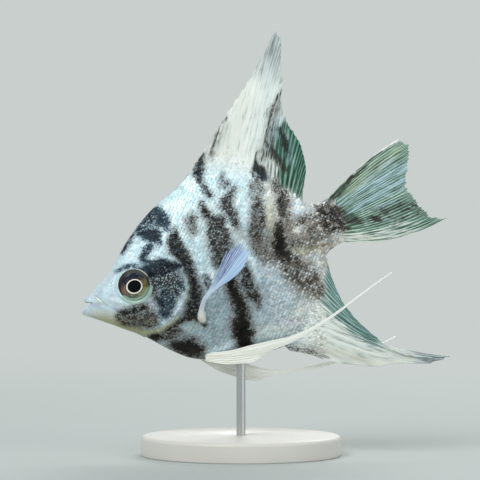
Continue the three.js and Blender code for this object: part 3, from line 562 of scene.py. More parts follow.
# Tones laid under the dark marks. Each is a list of [strength, edge in mm, brush stroke].
TONES = {
    "frost": [
        (0.45, 0.4, [(21.7, -0.4, 0.15), (21.6, -1.8, 0.2), (21.2, -3.0, 0.3)]),
        (0.6, 0.8, [(46.3, 2.5, 0.8), (46.8, 1.2, 0.9), (46.0, 0.0, 0.5)]),
        (0.8, 0.5, [(46.4, 5.2, 0.6), (48.8, 4.6, 0.5), (52.0, 3.9, 0.3)]),
        (0.4, 2.0, [(45.0, 19.6, 0.6), (48.5, 25.6, 1.2), (51.6, 31.0, 1.0)]),
        (0.7, 0.8, [(22.6, -16.6, 0.5), (25.8, -16.6, 0.6), (27.0, -17.2, 0.5)]),
        (1.0, 0.4, [
            (20.5, -3.3, 0.4), (19.8, -4.4, 0.5), (19.0, -5.6, 0.5), (18.0, -6.7, 0.4), (16.8, -7.3, 0.3)]),
        (0.5, 0.5, [(16.8, -7.4, 0.4), (14.4, -8.0, 0.4)]),
        (1.0, 0.3, [(53.3, -2.0, 0.2), (53.1, -3.0, 0.45), (53.0, -3.9, 0.2)]),
        (0.5, 0.8, [(59.6, 2.8, 0.3), (59.5, 1.0, 0.5), (59.6, -0.6, 0.4)]),
        (0.95, 0.8, [(58.0, 2.4, 0.2), (61.0, 2.9, 0.7), (65.0, 3.5, 1.0), (70.0, 4.3, 0.9)]),
        (0.9, 0.6, [(58.0, 0.9, 0.2), (61.0, 1.1, 0.5), (65.0, 1.6, 0.6), (69.0, 1.9, 0.5)]),
        (1.0, 0.25, [(56.0, -0.4, 0.2), (60.2, -0.1, 0.25), (65.0, 0.3, 0.3), (69.4, 0.8, 0.3)]),
        (0.8, 0.4, [(55.2, 1.6, 0.3), (58.0, 1.7, 0.3)]),
        (0.7, 0.9, [(46.0, 17.4, 0.8), (47.6, 19.6, 0.9), (49.4, 22.0, 0.8)]),
        (0.45, 1.0, [(49.2, 13.6, 0.8), (50.2, 17.6, 0.6)]),
        (0.5, 0.8, [(62.0, 4.6, 0.8), (68.0, 6.4, 0.9)]),
        (0.6, 0.7, [(46.6, 3.2, 0.7), (49.4, 2.4, 0.7)]),
        (0.9, 0.4, [(55.2, -0.8, 0.25), (57.6, 0.0, 0.35), (60.0, 0.6, 0.35)]),
        (0.7, 0.4, [(55.6, 2.6, 0.25), (58.2, 3.2, 0.3)]),
        (0.7, 0.5, [(62.0, -1.4, 0.4), (66.0, -1.5, 0.4)]),
        (0.5, 0.5, [(59.4, -1.5, 0.3), (59.1, -3.8, 0.3)]),
        (0.8, 0.3, [(62.2, -4.0, 0.15), (63.6, -4.1, 0.15)]),
    ],
    "warm": [
        (1.0, 0.9, [
            (1.4, -2.6, 0.2), (3.5, -3.8, 0.7), (5.2, -5.2, 1.0), (7.2, -6.9, 1.1), (9.3, -8.5, 0.9)]),
        (0.9, 0.5, [
            (9.3, -8.7, 0.7), (11.5, -9.3, 0.5), (13.6, -9.5, 0.4), (15.5, -9.0, 0.3), (17.5, -8.2, 0.25)]),
        (0.45, 0.35, [(3.2, 1.2, 0.05), (3.8, 0.4, 0.2), (4.3, -0.4, 0.15)]),
        (0.4, 0.6, [(11.0, -6.4, 1.0), (12.4, -7.2, 0.8)]),
        (0.5, 0.3, [
            (22.1, 0.7, 0.15), (22.2, -0.8, 0.2), (21.9, -2.6, 0.15), (20.6, -5.2, 0.3),
            (19.4, -6.6, 0.15)]),
        (0.7, 0.3, [(13.6, -9.9, 0.1), (15.2, -9.9, 0.2), (17.0, -9.4, 0.2)]),
        (0.5, 0.3, [(11.0, -11.0, 0.15), (13.4, -14.0, 0.15), (16.0, -16.4, 0.15), (18.4, -17.8, 0.15)]),
        (0.55, 1.0, [
            (42.4, 6.4, 0.5), (41.7, 4.6, 0.8), (41.0, 2.4, 0.7), (40.4, 0.0, 0.5), (40.3, -1.8, 0.4)]),
        (0.55, 0.8, [(43.8, -3.4, 0.7), (46.0, -4.2, 0.9), (48.2, -4.6, 0.6)]),
        (0.5, 0.4, [(12.9, -12.4, 0.3), (13.6, -13.1, 0.3)]),
        (0.25, 0.8, [(18.0, -11.4, 0.5), (20.6, -11.0, 0.7)]),
        (0.4, 0.5, [(29.6, 7.6, 0.3), (29.9, 6.2, 0.3)]),
        (0.3, 0.5, [(31.6, 9.6, 0.4), (31.8, 8.6, 0.3)]),
        (0.2, 0.8, [(31.0, -17.8, 0.5), (34.0, -18.4, 0.5)]),
        (0.75, 1.0, [(57.0, 3.4, 0.6), (60.0, 4.5, 1.0), (65.0, 6.2, 1.2), (70.0, 7.8, 0.9)]),
    ],
    "sand": [
        (0.8, 0.9, [(1.2, -1.7, 0.4), (3.0, -2.5, 0.9), (5.2, -3.7, 1.0), (6.6, -5.0, 0.5)]),
        (0.75, 1.2, [(43.6, -24.6, 0.8), (48.0, -28.4, 1.5), (53.0, -30.6, 1.3), (58.0, -31.8, 0.7)]),
        (0.5, 0.4, [(3.3, 1.2, 0.1), (3.9, 0.3, 0.3), (4.6, -0.7, 0.2)]),
        (0.8, 1.5, [(44.5, 1.5, 1.5), (47.5, 0.5, 2.2), (51.0, -1.0, 2.2), (53.5, -3.0, 1.5)]),
        (0.7, 1.2, [(44.4, -3.6, 1.0), (47.5, -4.4, 1.2), (53.0, -4.8, 0.6)]),
        (0.5, 1.5, [(42.0, -6.0, 1.5), (43.5, -10.0, 2.0), (45.0, -13.0, 1.0)]),
        (0.5, 1.5, [(41.0, -20.0, 0.8), (43.0, -24.0, 1.2), (47.0, -28.0, 0.8)]),
        (0.4, 1.5, [(33.5, 4.0, 0.8), (35.5, 2.0, 0.8), (37.5, 0.0, 1.2), (38.5, -3.5, 1.0)]),
        (0.6, 1.0, [(43.5, 9.5, 0.5), (42.5, 6.5, 1.2), (41.0, 3.5, 1.2)]),
        (0.45, 1.6, [(32.0, -16.5, 1.0), (37.0, -17.5, 1.4), (41.0, -16.0, 1.2)]),
        (0.3, 1.2, [(23.8, 8.0, 0.6), (27.6, 6.6, 0.8), (28.0, 3.4, 0.6)]),
        (0.45, 2.0, [(37.6, 19.0, 1.2), (42.0, 24.6, 1.5), (45.6, 29.6, 1.0)]),
        (0.5, 0.7, [(54.6, -4.4, 0.3), (57.6, -5.8, 0.6), (60.6, -7.2, 0.5)]),
    ],
    "lilac": [
        (0.5, 0.9, [(2.0, 0.9, 0.3), (4.6, 1.6, 0.5), (6.4, 3.0, 0.5), (8.4, 4.6, 0.3)]),
        (0.45, 0.8, [(5.2, -0.6, 0.3), (7.0, 0.4, 0.5), (7.6, 2.0, 0.4)]),
        (0.8, 0.5, [(1.4, -0.1, 0.1), (2.6, -0.1, 0.4), (3.4, -0.6, 0.5)]),
        (0.6, 0.3, [(1.3, 1.5, 0.25), (2.2, 1.7, 0.2)]),
        (0.6, 0.3, [(0.0, -1.1, 0.2), (0.7, -0.6, 0.2)]),
        (0.8, 0.5, [(6.4, -2.2, 0.4), (7.3, -3.0, 0.4)]),
        (0.8, 0.4, [(13.5, -3.2, 0.4), (13.7, -4.6, 0.3)]),
        (0.6, 0.4, [(14.6, -1.6, 0.2), (15.2, -1.0, 0.3)]),
        (0.5, 0.8, [(36.5, -15.5, 0.8), (39.0, -17.5, 0.8)]),
    ],
    "dusk": [
        (0.7, 1.0, [(37.7, 1.0, 1.0), (38.2, -2.0, 1.2), (39.4, -4.4, 0.9)]),
        (0.85, 1.5, [(41.0, -6.0, 1.2), (41.8, -9.0, 1.8), (43.2, -11.6, 1.6), (44.6, -13.8, 0.7)]),
        (0.75, 0.9, [(44.2, -2.4, 0.8), (46.4, -3.0, 0.8), (48.4, -3.4, 0.6)]),
        (0.3, 1.2, [(45.4, 0.8, 0.8), (48.6, 0.2, 0.9), (50.0, 0.0, 1.0), (51.6, -0.8, 0.9)]),
        (0.6, 1.4, [(51.2, 2.4, 0.6), (53.4, 0.6, 1.6), (53.6, -2.0, 1.2)]),
        (0.5, 0.4, [(33.5, 20.6, 0.3), (36.5, 23.0, 0.3), (38.5, 24.8, 0.3), (40.6, 26.4, 0.2)]),
        (0.5, 0.4, [(25.5, 16.0, 0.1), (28.0, 17.4, 0.3), (30.4, 18.8, 0.3)]),
        (0.5, 0.5, [(35.4, -21.2, 0.2), (38.6, -23.2, 0.6), (41.6, -25.6, 0.6)]),
        (0.35, 1.2, [(34.6, 4.2, 0.5), (35.4, 2.8, 0.6)]),
        (0.6, 0.6, [(6.9, -5.2, 0.8), (9.4, -6.3, 1.2), (11.6, -6.8, 1.4)]),
        (0.75, 1.3, [
            (52.3, 26.8, 0.4), (50.2, 24.8, 0.6), (48.2, 22.0, 0.8), (46.8, 19.4, 0.9), (45.0, 17.0, 0.9)]),
        # Painted shade along the fold of the jaw.
        (0.2, 0.5, [(2.3, 0.1, 0.1), (3.6, -0.6, 0.15), (4.9, -1.3, 0.2), (6.2, -2.7, 0.3)]),
        (0.6, 0.6, [(44.6, 30.4, 0.2), (48.2, 33.8, 0.3), (52.0, 37.4, 0.4)]),
        (0.5, 1.0, [(38.6, 5.4, 0.8), (38.2, 3.4, 1.0), (37.6, 0.6, 1.0)]),
        (0.7, 0.8, [(46.2, -4.8, 0.7), (49.0, -4.5, 0.6), (51.8, -4.3, 0.4)]),
        (0.6, 0.7, [(34.4, 19.4, 0.7), (36.8, 21.6, 0.9), (39.4, 24.5, 0.7)]),
        (0.5, 0.6, [(13.6, -2.2, 0.4), (14.0, -4.0, 0.5)]),
        (0.3, 0.9, [(26.4, 9.0, 0.9), (26.2, 7.4, 0.6)]),
        (0.7, 0.4, [(20.9, 0.8, 0.3), (21.3, -0.4, 0.35), (21.3, -1.6, 0.2)]),
        (0.7, 0.9, [(40.3, 2.4, 0.5), (39.8, -0.6, 0.7), (40.0, -3.6, 0.7)]),
        (0.6, 0.8, [(43.9, 2.2, 0.5), (44.4, 0.6, 0.7), (44.2, -0.8, 0.5)]),
        (0.4, 1.2, [(40.2, -21.6, 0.6), (42.6, -24.6, 0.8), (46.0, -27.6, 0.8), (50.0, -29.6, 0.4)]),
    ],
    "chalk": [
        (1.0, 0.8, [(17.0, 5.7, 0.6), (18.6, 5.3, 1.1), (19.9, 4.9, 0.6)]),
        (0.8, 0.6, [(20.6, 8.6, 0.4), (20.7, 7.8, 0.4)]),
        (0.8, 0.6, [(46.4, 5.1, 0.5), (48.8, 4.5, 0.4), (52.0, 3.9, 0.3)]),
        (0.7, 0.8, [(46.8, 3.6, 0.6), (48.4, 3.2, 0.5), (50.0, 2.9, 0.3)]),
        (0.85, 0.6, [(46.4, 2.6, 0.8), (46.6, 0.9, 0.9), (45.6, -0.2, 0.7)]),
        (0.6, 0.8, [(35.0, 1.0, 0.7), (34.9, -1.6, 0.9), (35.0, -4.4, 0.8), (35.2, -7.0, 0.5)]),
        (0.5, 1.2, [(31.6, -17.2, 1.2), (35.6, -17.4, 1.4), (39.0, -16.8, 1.3), (41.8, -15.2, 0.9)]),
        (0.8, 1.4, [(25.2, 5.0, 1.4), (25.9, 1.0, 1.9), (26.2, -2.6, 1.9), (25.6, -4.6, 1.2)]),
        (0.8, 0.6, [(50.2, -4.2, 0.4), (53.0, -4.5, 0.4)]),
        (1.0, 0.7, [(20.4, -17.1, 0.4), (22.6, -17.2, 0.6), (25.6, -17.0, 0.6)]),
        (0.85, 1.0, [
            (44.4, -14.6, 0.4), (42.8, -17.0, 0.9), (41.2, -19.2, 1.0), (40.6, -21.6, 0.8),
            (42.4, -23.4, 0.6)]),
        (0.9, 0.5, [(46.0, 5.3, 0.5), (44.6, 4.8, 0.2)]),
        (0.9, 0.5, [(50.4, 3.5, 0.4), (52.0, 3.4, 0.3)]),
        (0.6, 0.8, [(47.6, -7.8, 0.4), (46.8, -9.4, 0.3)]),
        # Painted highlight: bright streaks along the fold under the eye.
        (0.8, 0.35, [(7.8, -2.3, 0.1), (9.0, -2.8, 0.15), (9.8, -3.0, 0.05)]),
        (0.9, 0.25, [(11.2, -8.3, 0.05), (12.2, -8.6, 0.1), (13.0, -8.4, 0.05)]),
        (0.7, 0.25, [(15.9, -0.9, 0.05), (15.7, -2.0, 0.1), (15.3, -3.2, 0.05)]),
        (0.6, 0.3, [(14.0, -8.8, 0.05), (16.0, -7.6, 0.1)]),
    ],
}


def markings(points, right):
    """Levels of the dark marks and of the tones at points of the fish. A stroke's level falls evenly with the
    distance from its edge, and is cut off at how solid the stroke is. Random fields of 2.4 mm and 1.1 mm make
    every outline uneven. The right side has the same strokes, pushed about by a slow wide field."""
    x, z = points[..., 0], points[..., 2]
    body = smooth_step(5, 14, x)
    wide = 1.7 * body if right else 0.0
    wobble = mix(0.08, 0.28, body)
    x, z = (value + wide * random_field(points, 6.5, seed) + wobble * random_field(points, 2.4, seed + 4)
            + 0.5 * wobble * random_field(points, 1.1, seed + 8)
            for value, seed in ((x, 21), (z, 22)))
    level = np.full(x.shape, -2.0)
    fleck, slate = np.zeros(x.shape), np.zeros(x.shape)
    for solid, flecks, blue, soft, stroke in MARKS.values():
        gap, width, _ = path_distance(x, z, stroke)
        mine = np.minimum((width[..., 0] - gap) / (1.15 * soft), solid)
        above = mine > level
        level = np.where(above, mine, level)
        fleck = np.where(above, flecks, fleck)
        slate = np.where(above, blue, slate)
    values = {"marking": level, "fleck": fleck, "slate": slate}
    for key, strokes in TONES.items():
        tone = np.zeros(x.shape)
        for strength, soft, stroke in strokes:
            gap, width, _ = path_distance(x, z, stroke)
            tone = np.maximum(tone, strength * smooth_step(-soft, soft, width[..., 0] - gap))
        values[key] = tone
    return values


def body_values(points, right):
    """What the skin's material reads at each point: the marks and tones, how near the pale back a place is,
    how far along the body, how strong the painted sparkle of reflected light on its scales is, and its place
    round the eye socket."""
    x, z = points[..., 0], points[..., 2]
    height = z - 0.16 * np.clip(x - 28, 0, 12) + 1.6 * random_field(points, 3.4, 31)
    face = smooth_step(15, 9, x)
    values = markings(points, right)
    pale = mix(smooth_step(-4.5, 8.5, height), 0.74 * smooth_step(-5.5, -2.5, z + 0.2 * x), face)
    values["back"] = np.maximum(pale, values["chalk"])
    above = smooth_step(-1.5, 3.5, z - back_line(x)) * smooth_step(27, 31, x)
    under = smooth_step(-1.0, 3.0, belly_line(x) - z) * smooth_step(34, 38, x)
    values["cream"] = np.maximum(above * smooth_step(48, 43, x), 0.8 * under * smooth_step(52, 47, x))
    values["rear"] = smooth_step(26, 34, x)
    values["hind"] = smooth_step(37.5, 45.5, x + 0.9 * random_field(points, 4.0, 33))
    # Strength of the painted sparkle on the scales: strongest low on the rear flank and on the tail stalk.
    low = smooth_step(-1.5, -6, z) * smooth_step(33, 39, x)
    stalk = smooth_step(44, 47, x)
    values["painted_sparkle_strength"] = np.clip(0.32 + 0.9 * low + 0.6 * stalk, 0, 1)
    values["orbit"] = np.stack([x - ORBIT[0], z - ORBIT[1], np.zeros(x.shape)], -1)
    return values


def two_sided_values(points, on_right):
    """The body's values, from the right side's version of the marks where on_right says so."""
    left, right = (body_values(points, side) for side in (False, True))
    return {key: np.where(on_right[:, None] if left[key].ndim == 2 else on_right, right[key], left[key])
            for key in left}


# ---- skin -------------------------------------------------------------------------------------------
def make_skin(material):
    """One closed skin from the blind end of the mouth to the root of the tail fin: rings of the body's
    surface, set in by the scales' depth and raised by the relief, with a point closing each end."""
    rings = np.concatenate([
        np.arange(MOUTH_END, 3, 0.1), np.arange(3, 23.5, 0.125), np.linspace(23.5, TAIL_END, 108)])
    around = 280
    u, angle = np.meshgrid(rings, np.arange(around) * 2 * np.pi / around, indexing="ij")
    bare = body_surface(u, angle)
    lips = smooth_step(1.2, 3.5, u)
    ridge = smooth_step(0.1, 0.9, np.abs(bare[..., 1]))
    depth = mix(0.03, SKIN_DEPTH, smooth_step(8, 20, bare[..., 0]))
    height = relief(bare[..., 0], bare[..., 2]) * lips * ridge - depth * smooth_step(MOUTH_END, 0, u)
    skin = bare + body_normal(u, angle) * height[..., None]
    end = skin[-1] * (1, 0.3, 0.86) + (1.2, 0, -0.1)
    closing = [mix(skin[-1], end, share) for share in (0.35, 0.7, 1.0)]
    grid = np.concatenate([skin, closing])
    points = np.concatenate([grid.reshape(-1, 3), [grid[0].mean(0)], [grid[-1].mean(0)]])
    values = two_sided_values(points, points[:, 1] > 0)
    # Painted shade inside the mouth: its hollow is given the level of a solid dark mark.
    inside = np.concatenate([np.repeat(mix(-2.0, 1.2, smooth_step(-0.1, -0.9, rings)), around),
                             np.full(len(points) - u.size, -2.0)])
    values["marking"] = np.maximum(values["marking"], inside)
    flesh = ("head", "upper_jaw", "lower_jaw", "gill_cover_left", "gill_cover_right", "trunk", "tail_stalk")
    piece("skin", to_model(points), ring_faces(len(grid), around), material, flesh, values)


# ---- scales -----------------------------------------------------------------------------------------
class Flank:
    """The body's surface laid out by x and by the distance round its section from the widest point, so that
    rows of scales keep their spacing from the head to the tail."""

    def __init__(self):
        self.x = np.arange(7.0, TAIL_END + 0.01, 0.25)
        self.share = np.linspace(0, 1, 65)
        sweep = np.linspace(0, np.pi / 2, 121)
        self.table, self.reach = [], []
        for sign in (1, -1):
            section = body_surface(self.x[:, None], sign * sweep[None, :])
            step = np.linalg.norm(np.diff(section, axis=1)[..., 1:], axis=-1)
            arc = np.concatenate([np.zeros((len(self.x), 1)), np.cumsum(step, axis=1)], axis=1)
            self.reach.append(arc[:, -1])
            self.table.append(np.stack([np.interp(self.share * row[-1], row, sweep) for row in arc]))

    def edge(self, x, up):
        """Distance round the section from the widest point to the back (up) or the belly."""
        return np.interp(x, self.x, self.reach[0 if up else 1])

    def angle(self, x, arc):
        """Angle of the place at x and at a signed distance round the section, from the nearest stations."""
        up = arc >= 0
        reach = np.where(up, self.edge(x, True), self.edge(x, False))
        share = np.clip(np.abs(arc) / reach, 0, 1) * (len(self.share) - 1)
        place = np.clip((x - self.x[0]) / (self.x[1] - self.x[0]), 0, len(self.x) - 1.001)
        i, k = place.astype(int), np.minimum(share.astype(int), len(self.share) - 2)
        past_i, past_k = place - i, share - k
        found = 0
        for di in (0, 1):
            for dk in (0, 1):
                weight = (past_i if di else 1 - past_i) * (past_k if dk else 1 - past_k)
                over, below = (table[i + di, k + dk] for table in self.table)
                found = found + weight * np.where(up, over, below)
        return np.where(up, found, -found)


# One scale: places along it (0 hidden front, 1 free rear edge) and across it, and its height at each.
SCALE_ALONG = np.array([0.0, 0.4, 0.72, 0.93, 1.0])
SCALE_ACROSS = np.linspace(-1, 1, 7)


def scale_shape():
    """A thin shingle with a rounded rear edge: it rises from under the scale in front, is domed across, and
    turns down to the skin at its rear and its sides. Returns place along, place across, height and faces."""
    along, across = np.meshgrid(SCALE_ALONG, SCALE_ACROSS, indexing="ij")
    rise = mix(-0.35, 1.0, along) * (1 - 0.25 * across**2)
    sunk = (along > 0.99) | (np.abs(across) > 0.99)
    rise = np.where(sunk, -0.45, rise)
    arc = 1 - 0.42 * across**2 * along**2
    wide = across * mix(0.75, 1.0, smooth_step(0, 0.4, along)) * mix(1.0, 0.8, smooth_step(0.8, 1.0, along))
    return (along * arc).ravel(), wide.ravel(), rise.ravel(), grid_faces(*along.shape)


def flank_lattice(flank, step, row, x_from, x_to):
    """Roots of scales in rows along the body, each row set back by half a scale from its neighbour."""
    rows = np.arange(-46, 47)
    columns = np.arange(0, int((x_to - x_from) / step) + 1)
    k, i = np.meshgrid(rows, columns, indexing="ij")
    x = x_from + (i + 0.5 * (k % 2)) * step
    arc = k * row
    inside = (arc < flank.edge(x, True) - 0.25) & (arc > -flank.edge(x, False) + 0.25)
    return x[inside], arc[inside]


def scale_values(points, right, count, along, across, dice):
    """What the material reads on a scale: the body's values, the scale's own shade, its painted sparkle of
    reflected light, which some of the scales lack, and the painted shade along its free edge."""
    values = body_values(points, right)
    values["flake"] = np.repeat(dice.random(count), len(along))
    strength = np.clip(dice.normal(0.55, 0.6, count), 0, 1)
    spot = bump(along - 0.72, 0.15) * bump(across, 0.36)
    values["painted_sparkle_spot"] = np.repeat(strength, len(along)) * np.tile(spot, count)
    values["painted_edge_shade"] = np.tile(smooth_step(0.8, 1.0, along), count)
    return values


def lay_scales(flank, right, roots, seed):
    """Lays one scale on each root [x, arc, length, width, lift]: its own flat shape is placed along and round
    the body, a little off its place and turned a little, then stood off the skin along the body's normal."""
    along, across, rise, faces = scale_shape()
    dice = np.random.default_rng(seed)
    count = len(roots)
    x0, arc0, length, width, lift = (roots[:, k, None] for k in range(5))
    x0 = x0 + dice.normal(0, 0.05, (count, 1)) * length
    arc0 = arc0 + dice.normal(0, 0.035, (count, 1))
    width = width * dice.normal(1, 0.06, (count, 1))
    lift = lift * np.clip(dice.normal(1, 0.25, (count, 1)), 0.5, 1.3)
    turn = dice.normal(0, 0.08, (count, 1))
    forward = (along[None, :] - 0.5) * length
    sideways = across[None, :] * width * 0.5
    x = np.clip(x0 + forward - turn * sideways, 7.0, TAIL_END)
    arc = arc0 + sideways + turn * forward
    arc = np.clip(arc, -flank.edge(x, False), flank.edge(x, True))
    angle = flank.angle(x, arc)
    bare, normal = body_surface(x, angle), body_normal(x, angle)
    tilt = dice.normal(0, 0.16, (count, 1)) * across[None, :] + dice.normal(0, 0.12, (count, 1))
    shade = relief(bare[..., 0], bare[..., 2]) * smooth_step(0.1, 0.9, np.abs(bare[..., 1]))
    stand = rise[None, :] + np.where(rise > 0, tilt, 0) * along[None, :]
    depth = mix(0.03, SKIN_DEPTH, smooth_step(8, 20, bare[..., 0]))
    points = bare + normal * (shade - depth + stand * lift)[..., None]
    if right:
        points = points * (1, -1, 1)
        faces = faces[:, ::-1]
    points = points.reshape(-1, 3)
    root_u, root_v = 0.02 + 0.96 * roots[:, 0] / TAIL_END, 0.5 + 0.46 * roots[:, 1] / 24
    patches = scale_patches(root_u, root_v, along, across)
    values = scale_values(points, right, count, along, across, dice)
    return points, repeated(faces, count, len(along)), values, patches


def scale_patches(root_u, root_v, along, across):
    """Each scale's patch of the coat's UV map, 0.003 across, at its root's place on the unwrapped skin."""
    return np.stack([root_u[:, None] + (along - 0.5)[None] * PATCH,
                     root_v[:, None] + across[None] * PATCH / 2], -1).reshape(-1, 2)


def on_side(flank, x, arc):
    """Side-view place of a root on the flank."""
    p = body_surface(x, flank.angle(x, arc))
    return p[:, 0], p[:, 2]


def flank_roots(flank):
    """Large scales behind the gill cover, smaller towards the nape, the breast and the tail stalk."""
    x, arc = flank_lattice(flank, FLANK_STEP, FLANK_ROW, 12.5, 54.2)
    px, pz = on_side(flank, x, arc)
    gap, _, side = path_distance(px, pz, GILL_EDGE)
    inside = gap * -side
    above = pz > 4.0 + 0.45 * np.clip(15 - px, 0, 9)
    below = pz < -10.6
    keep = np.where(above | below, True, inside < -0.45) & (px < 53.8)
    keep &= ~((pz <= 4.0) & ~below & (px < 20))
    x, arc, px = x[keep], arc[keep], px[keep]
    grown = smooth_step(12, 24, px) * 0.25 + 0.75
    lift = SCALE_LIFT * mix(0.55, 1.0, smooth_step(12, 26, px))
    return np.stack([x, arc, 1.75 * grown, 1.0 * grown, lift], -1)


def cover_roots(flank):
    """Small scales on the cheek and the gill cover, clear of the eye and of the cover's free edge."""
    x, arc = flank_lattice(flank, COVER_STEP, COVER_ROW, 8.6, 23.0)
    px, pz = on_side(flank, x, arc)
    gap, _, side = path_distance(px, pz, GILL_EDGE)
    inside = gap * -side
    orbit = np.hypot(px - ORBIT[0], pz - ORBIT[1])
    keep = (inside > 0.75) & (orbit > 4.3) & (pz < 3.9) & (pz > -8.2)
    keep &= (px > 12.2) | (pz < -3.6 - 0.3 * (px - 9))
    keep &= pz > belly_line(px) + 2.0
    x, arc = x[keep], arc[keep]
    return np.stack([x, arc, np.full(len(x), 1.05), np.full(len(x), 0.68), np.full(len(x), 0.05)], -1)


def make_scales(material):
    """One coat piece for each side of the body."""
    flank = Flank()
    roots = np.concatenate([flank_roots(flank), cover_roots(flank)])
    for name, right, seed in (("scales_left", False, 5), ("scales_right", True, 6)):
        points, quads, values, patches = lay_scales(flank, right, roots, seed)
        piece(name, to_model(points), [quads], material, (), values, patches)


# ---- fins -------------------------------------------------------------------------------------------
# Each unpaired fin: its root line and its tips [share, x, z] in the side view, how its rays bow within its
# plane and sway out of it, how thick its fleshy root is, its rays and the shares out at which they fork, the
# step behind each spine, the share of the root with spines, how ragged the tips are, the plate's columns and
# rows, the root's width, how far skin goes out over it [front, rear, from share, to share] and how softly it
# ends, and the shelf of the coat's UV map that its scales lie on.
FINS = {
    "dorsal_fin": {
        "root": [(28.2, 16.0), (31, 15.8), (35, 15.0), (39, 12.9), (43, 9.8), (46, 6.6), (48.3, 3.6)],
        "tips": [
            (0, 28.3, 17.1), (0.03, 30.1, 18.5), (0.08, 32.8, 20.6), (0.16, 36.6, 23.4), (0.24, 39.6, 26.0),
            (0.31, 43.6, 29.0), (0.37, 46.9, 31.5), (0.42, 50.6, 34.6), (0.47, 55.5, 39.0),
            (0.53, 55.8, 36.4), (0.58, 54.2, 32.8), (0.63, 53.2, 28.9), (0.69, 51.5, 25.3),
            (0.76, 51.2, 21.4), (0.84, 52.3, 16.1), (0.91, 51.8, 11.6), (1, 48.9, 6.0)],
        "bow": lambda u: 0.8 * np.sin(np.pi * u),
        "sway": lambda u: 1.2 * np.sin(np.pi * u),
        "flesh": 0.7, "rays": 30, "forks": (0.55,), "step": 0.09, "spines": 0.40, "ragged": 0.012,
        "columns": 360, "rows": 70, "width": 34, "sheath": (4.6, 0.8, 0.36, 0.62), "soft": 2.2, "shelf": 0.55,
    },
    "anal_fin": {
        "root": [
            (35.0, -20.0), (37.5, -19.4), (40.0, -17.6), (43.0, -14.6), (45.6, -11.0), (47.6, -7.6),
            (49.0, -5.6)],
        "tips": [
            (0, 36.1, -22.2), (0.07, 39.6, -24.3), (0.14, 42.9, -26.9), (0.2, 46.5, -28.9),
            (0.25, 51.3, -31.0), (0.29, 56.5, -32.3), (0.33, 61.6, -34.0), (0.37, 65.9, -34.3),
            (0.42, 61.8, -33.1), (0.48, 57.9, -31.0), (0.55, 54.8, -28.1), (0.63, 52.7, -24.6),
            (0.72, 50.5, -20.3), (0.81, 49.3, -16.2), (0.9, 49.0, -12.0), (1, 49.4, -7.4)],
        "bow": lambda u: -1.6 * np.sin(np.pi * u) ** 2,
        "sway": lambda u: -1.0 * np.sin(np.pi * u),
        "flesh": 0.65, "rays": 23, "forks": (0.75,), "step": 0.03, "spines": 0.22, "ragged": 0.010,
        "columns": 360, "rows": 60, "width": 30, "sheath": (6.6, 1.4, 0.1, 0.6), "soft": 2.2, "shelf": 0.05,
    },
    "tail_fin": {
        "root": [(52.8, -5.1), (53.4, -3.2), (53.8, -1.0), (53.6, 1.2), (53.0, 3.3)],
        "tips": [
            (0, 74.9, -7.9), (0.06, 73.2, -7.6), (0.14, 71.9, -6.2), (0.24, 70.7, -4.2), (0.36, 69.8, -1.8),
            (0.5, 69.3, 0.8), (0.62, 70.3, 3.1), (0.74, 71.4, 5.2), (0.85, 72.3, 7.6), (0.94, 72.0, 9.3),
            (1, 71.0, 10.1)],
        "bow": lambda u: -1.9 * (1 - u) ** 3 + 0.9 * u**3,
        "sway": lambda u: 1.4 * (u - 0.5),
        "flesh": 1.9, "rays": 17, "forks": (0.25, 0.9), "step": 0.0, "spines": 0.0, "ragged": 0.014,
        "columns": 400, "rows": 60, "width": 16, "sheath": (0.7, 0.7, 0.0, 1.0), "soft": 0.9, "shelf": 0.8,
    },
}
PECTORAL = (
    [(21.7, 3.2, -10.6), (21.2, 4.8, -9.8), (22.0, 5.7, -8.2), (23.4, 6.4, -6.5), (25.4, 6.9, -5.0),
     (27.4, 7.3, -3.2), (29.5, 7.5, -0.9), (31.9, 7.6, 1.6)],
    [(22.0, 3.4, -10.7), (22.0, 4.9, -10.2), (22.5, 5.8, -8.2), (24.0, 6.7, -6.4), (26.6, 7.6, -5.0),
     (29.5, 8.4, -3.4), (33.5, 9.2, -0.8), (38.4, 10.0, 2.0)],
    [(22.3, 3.2, -10.6), (22.8, 4.8, -9.7), (23.1, 5.8, -8.2), (24.6, 7.0, -6.5), (27.2, 8.0, -5.4),
     (29.8, 9.0, -4.8), (32.0, 9.8, -3.9), (34.4, 10.6, -2.5)])
PELVIC_LEFT = (
    [(20.2, 1.3, -16.9), (24.9, 2.4, -18.0), (29.0, 2.9, -18.4), (33.1, 3.2, -18.9), (37.8, 3.5, -19.4),
     (43.9, 3.9, -18.8), (50.8, 4.3, -16.9), (55.6, 4.6, -15.4), (60.3, 5.0, -14.1)],
    [(19.7, 1.0, -18.3), (23.1, 2.0, -20.2), (27.6, 2.6, -21.5), (31.0, 2.9, -21.7), (37.2, 3.4, -20.8),
     (44.1, 3.9, -19.4), (50.9, 4.3, -17.4), (55.8, 4.6, -15.9), (60.5, 5.0, -14.6)])
PELVIC_RIGHT = (
    [(20.0, 1.2, -17.6), (26.0, 2.5, -21.1), (30.2, 2.9, -24.0), (33.8, 3.2, -25.6), (38.8, 3.5, -26.7),
     (44.3, 3.8, -27.3), (49.0, 4.0, -27.4), (53.6, 4.2, -27.2), (57.2, 4.4, -26.8)],
    [(18.8, 1.0, -18.0), (21.6, 1.9, -21.4), (26.6, 2.5, -25.2), (31.0, 3.0, -26.2), (37.4, 3.5, -27.3),
     (43.3, 3.8, -27.9), (49.0, 4.0, -28.0), (53.8, 4.2, -27.8), (57.3, 4.4, -27.4)])


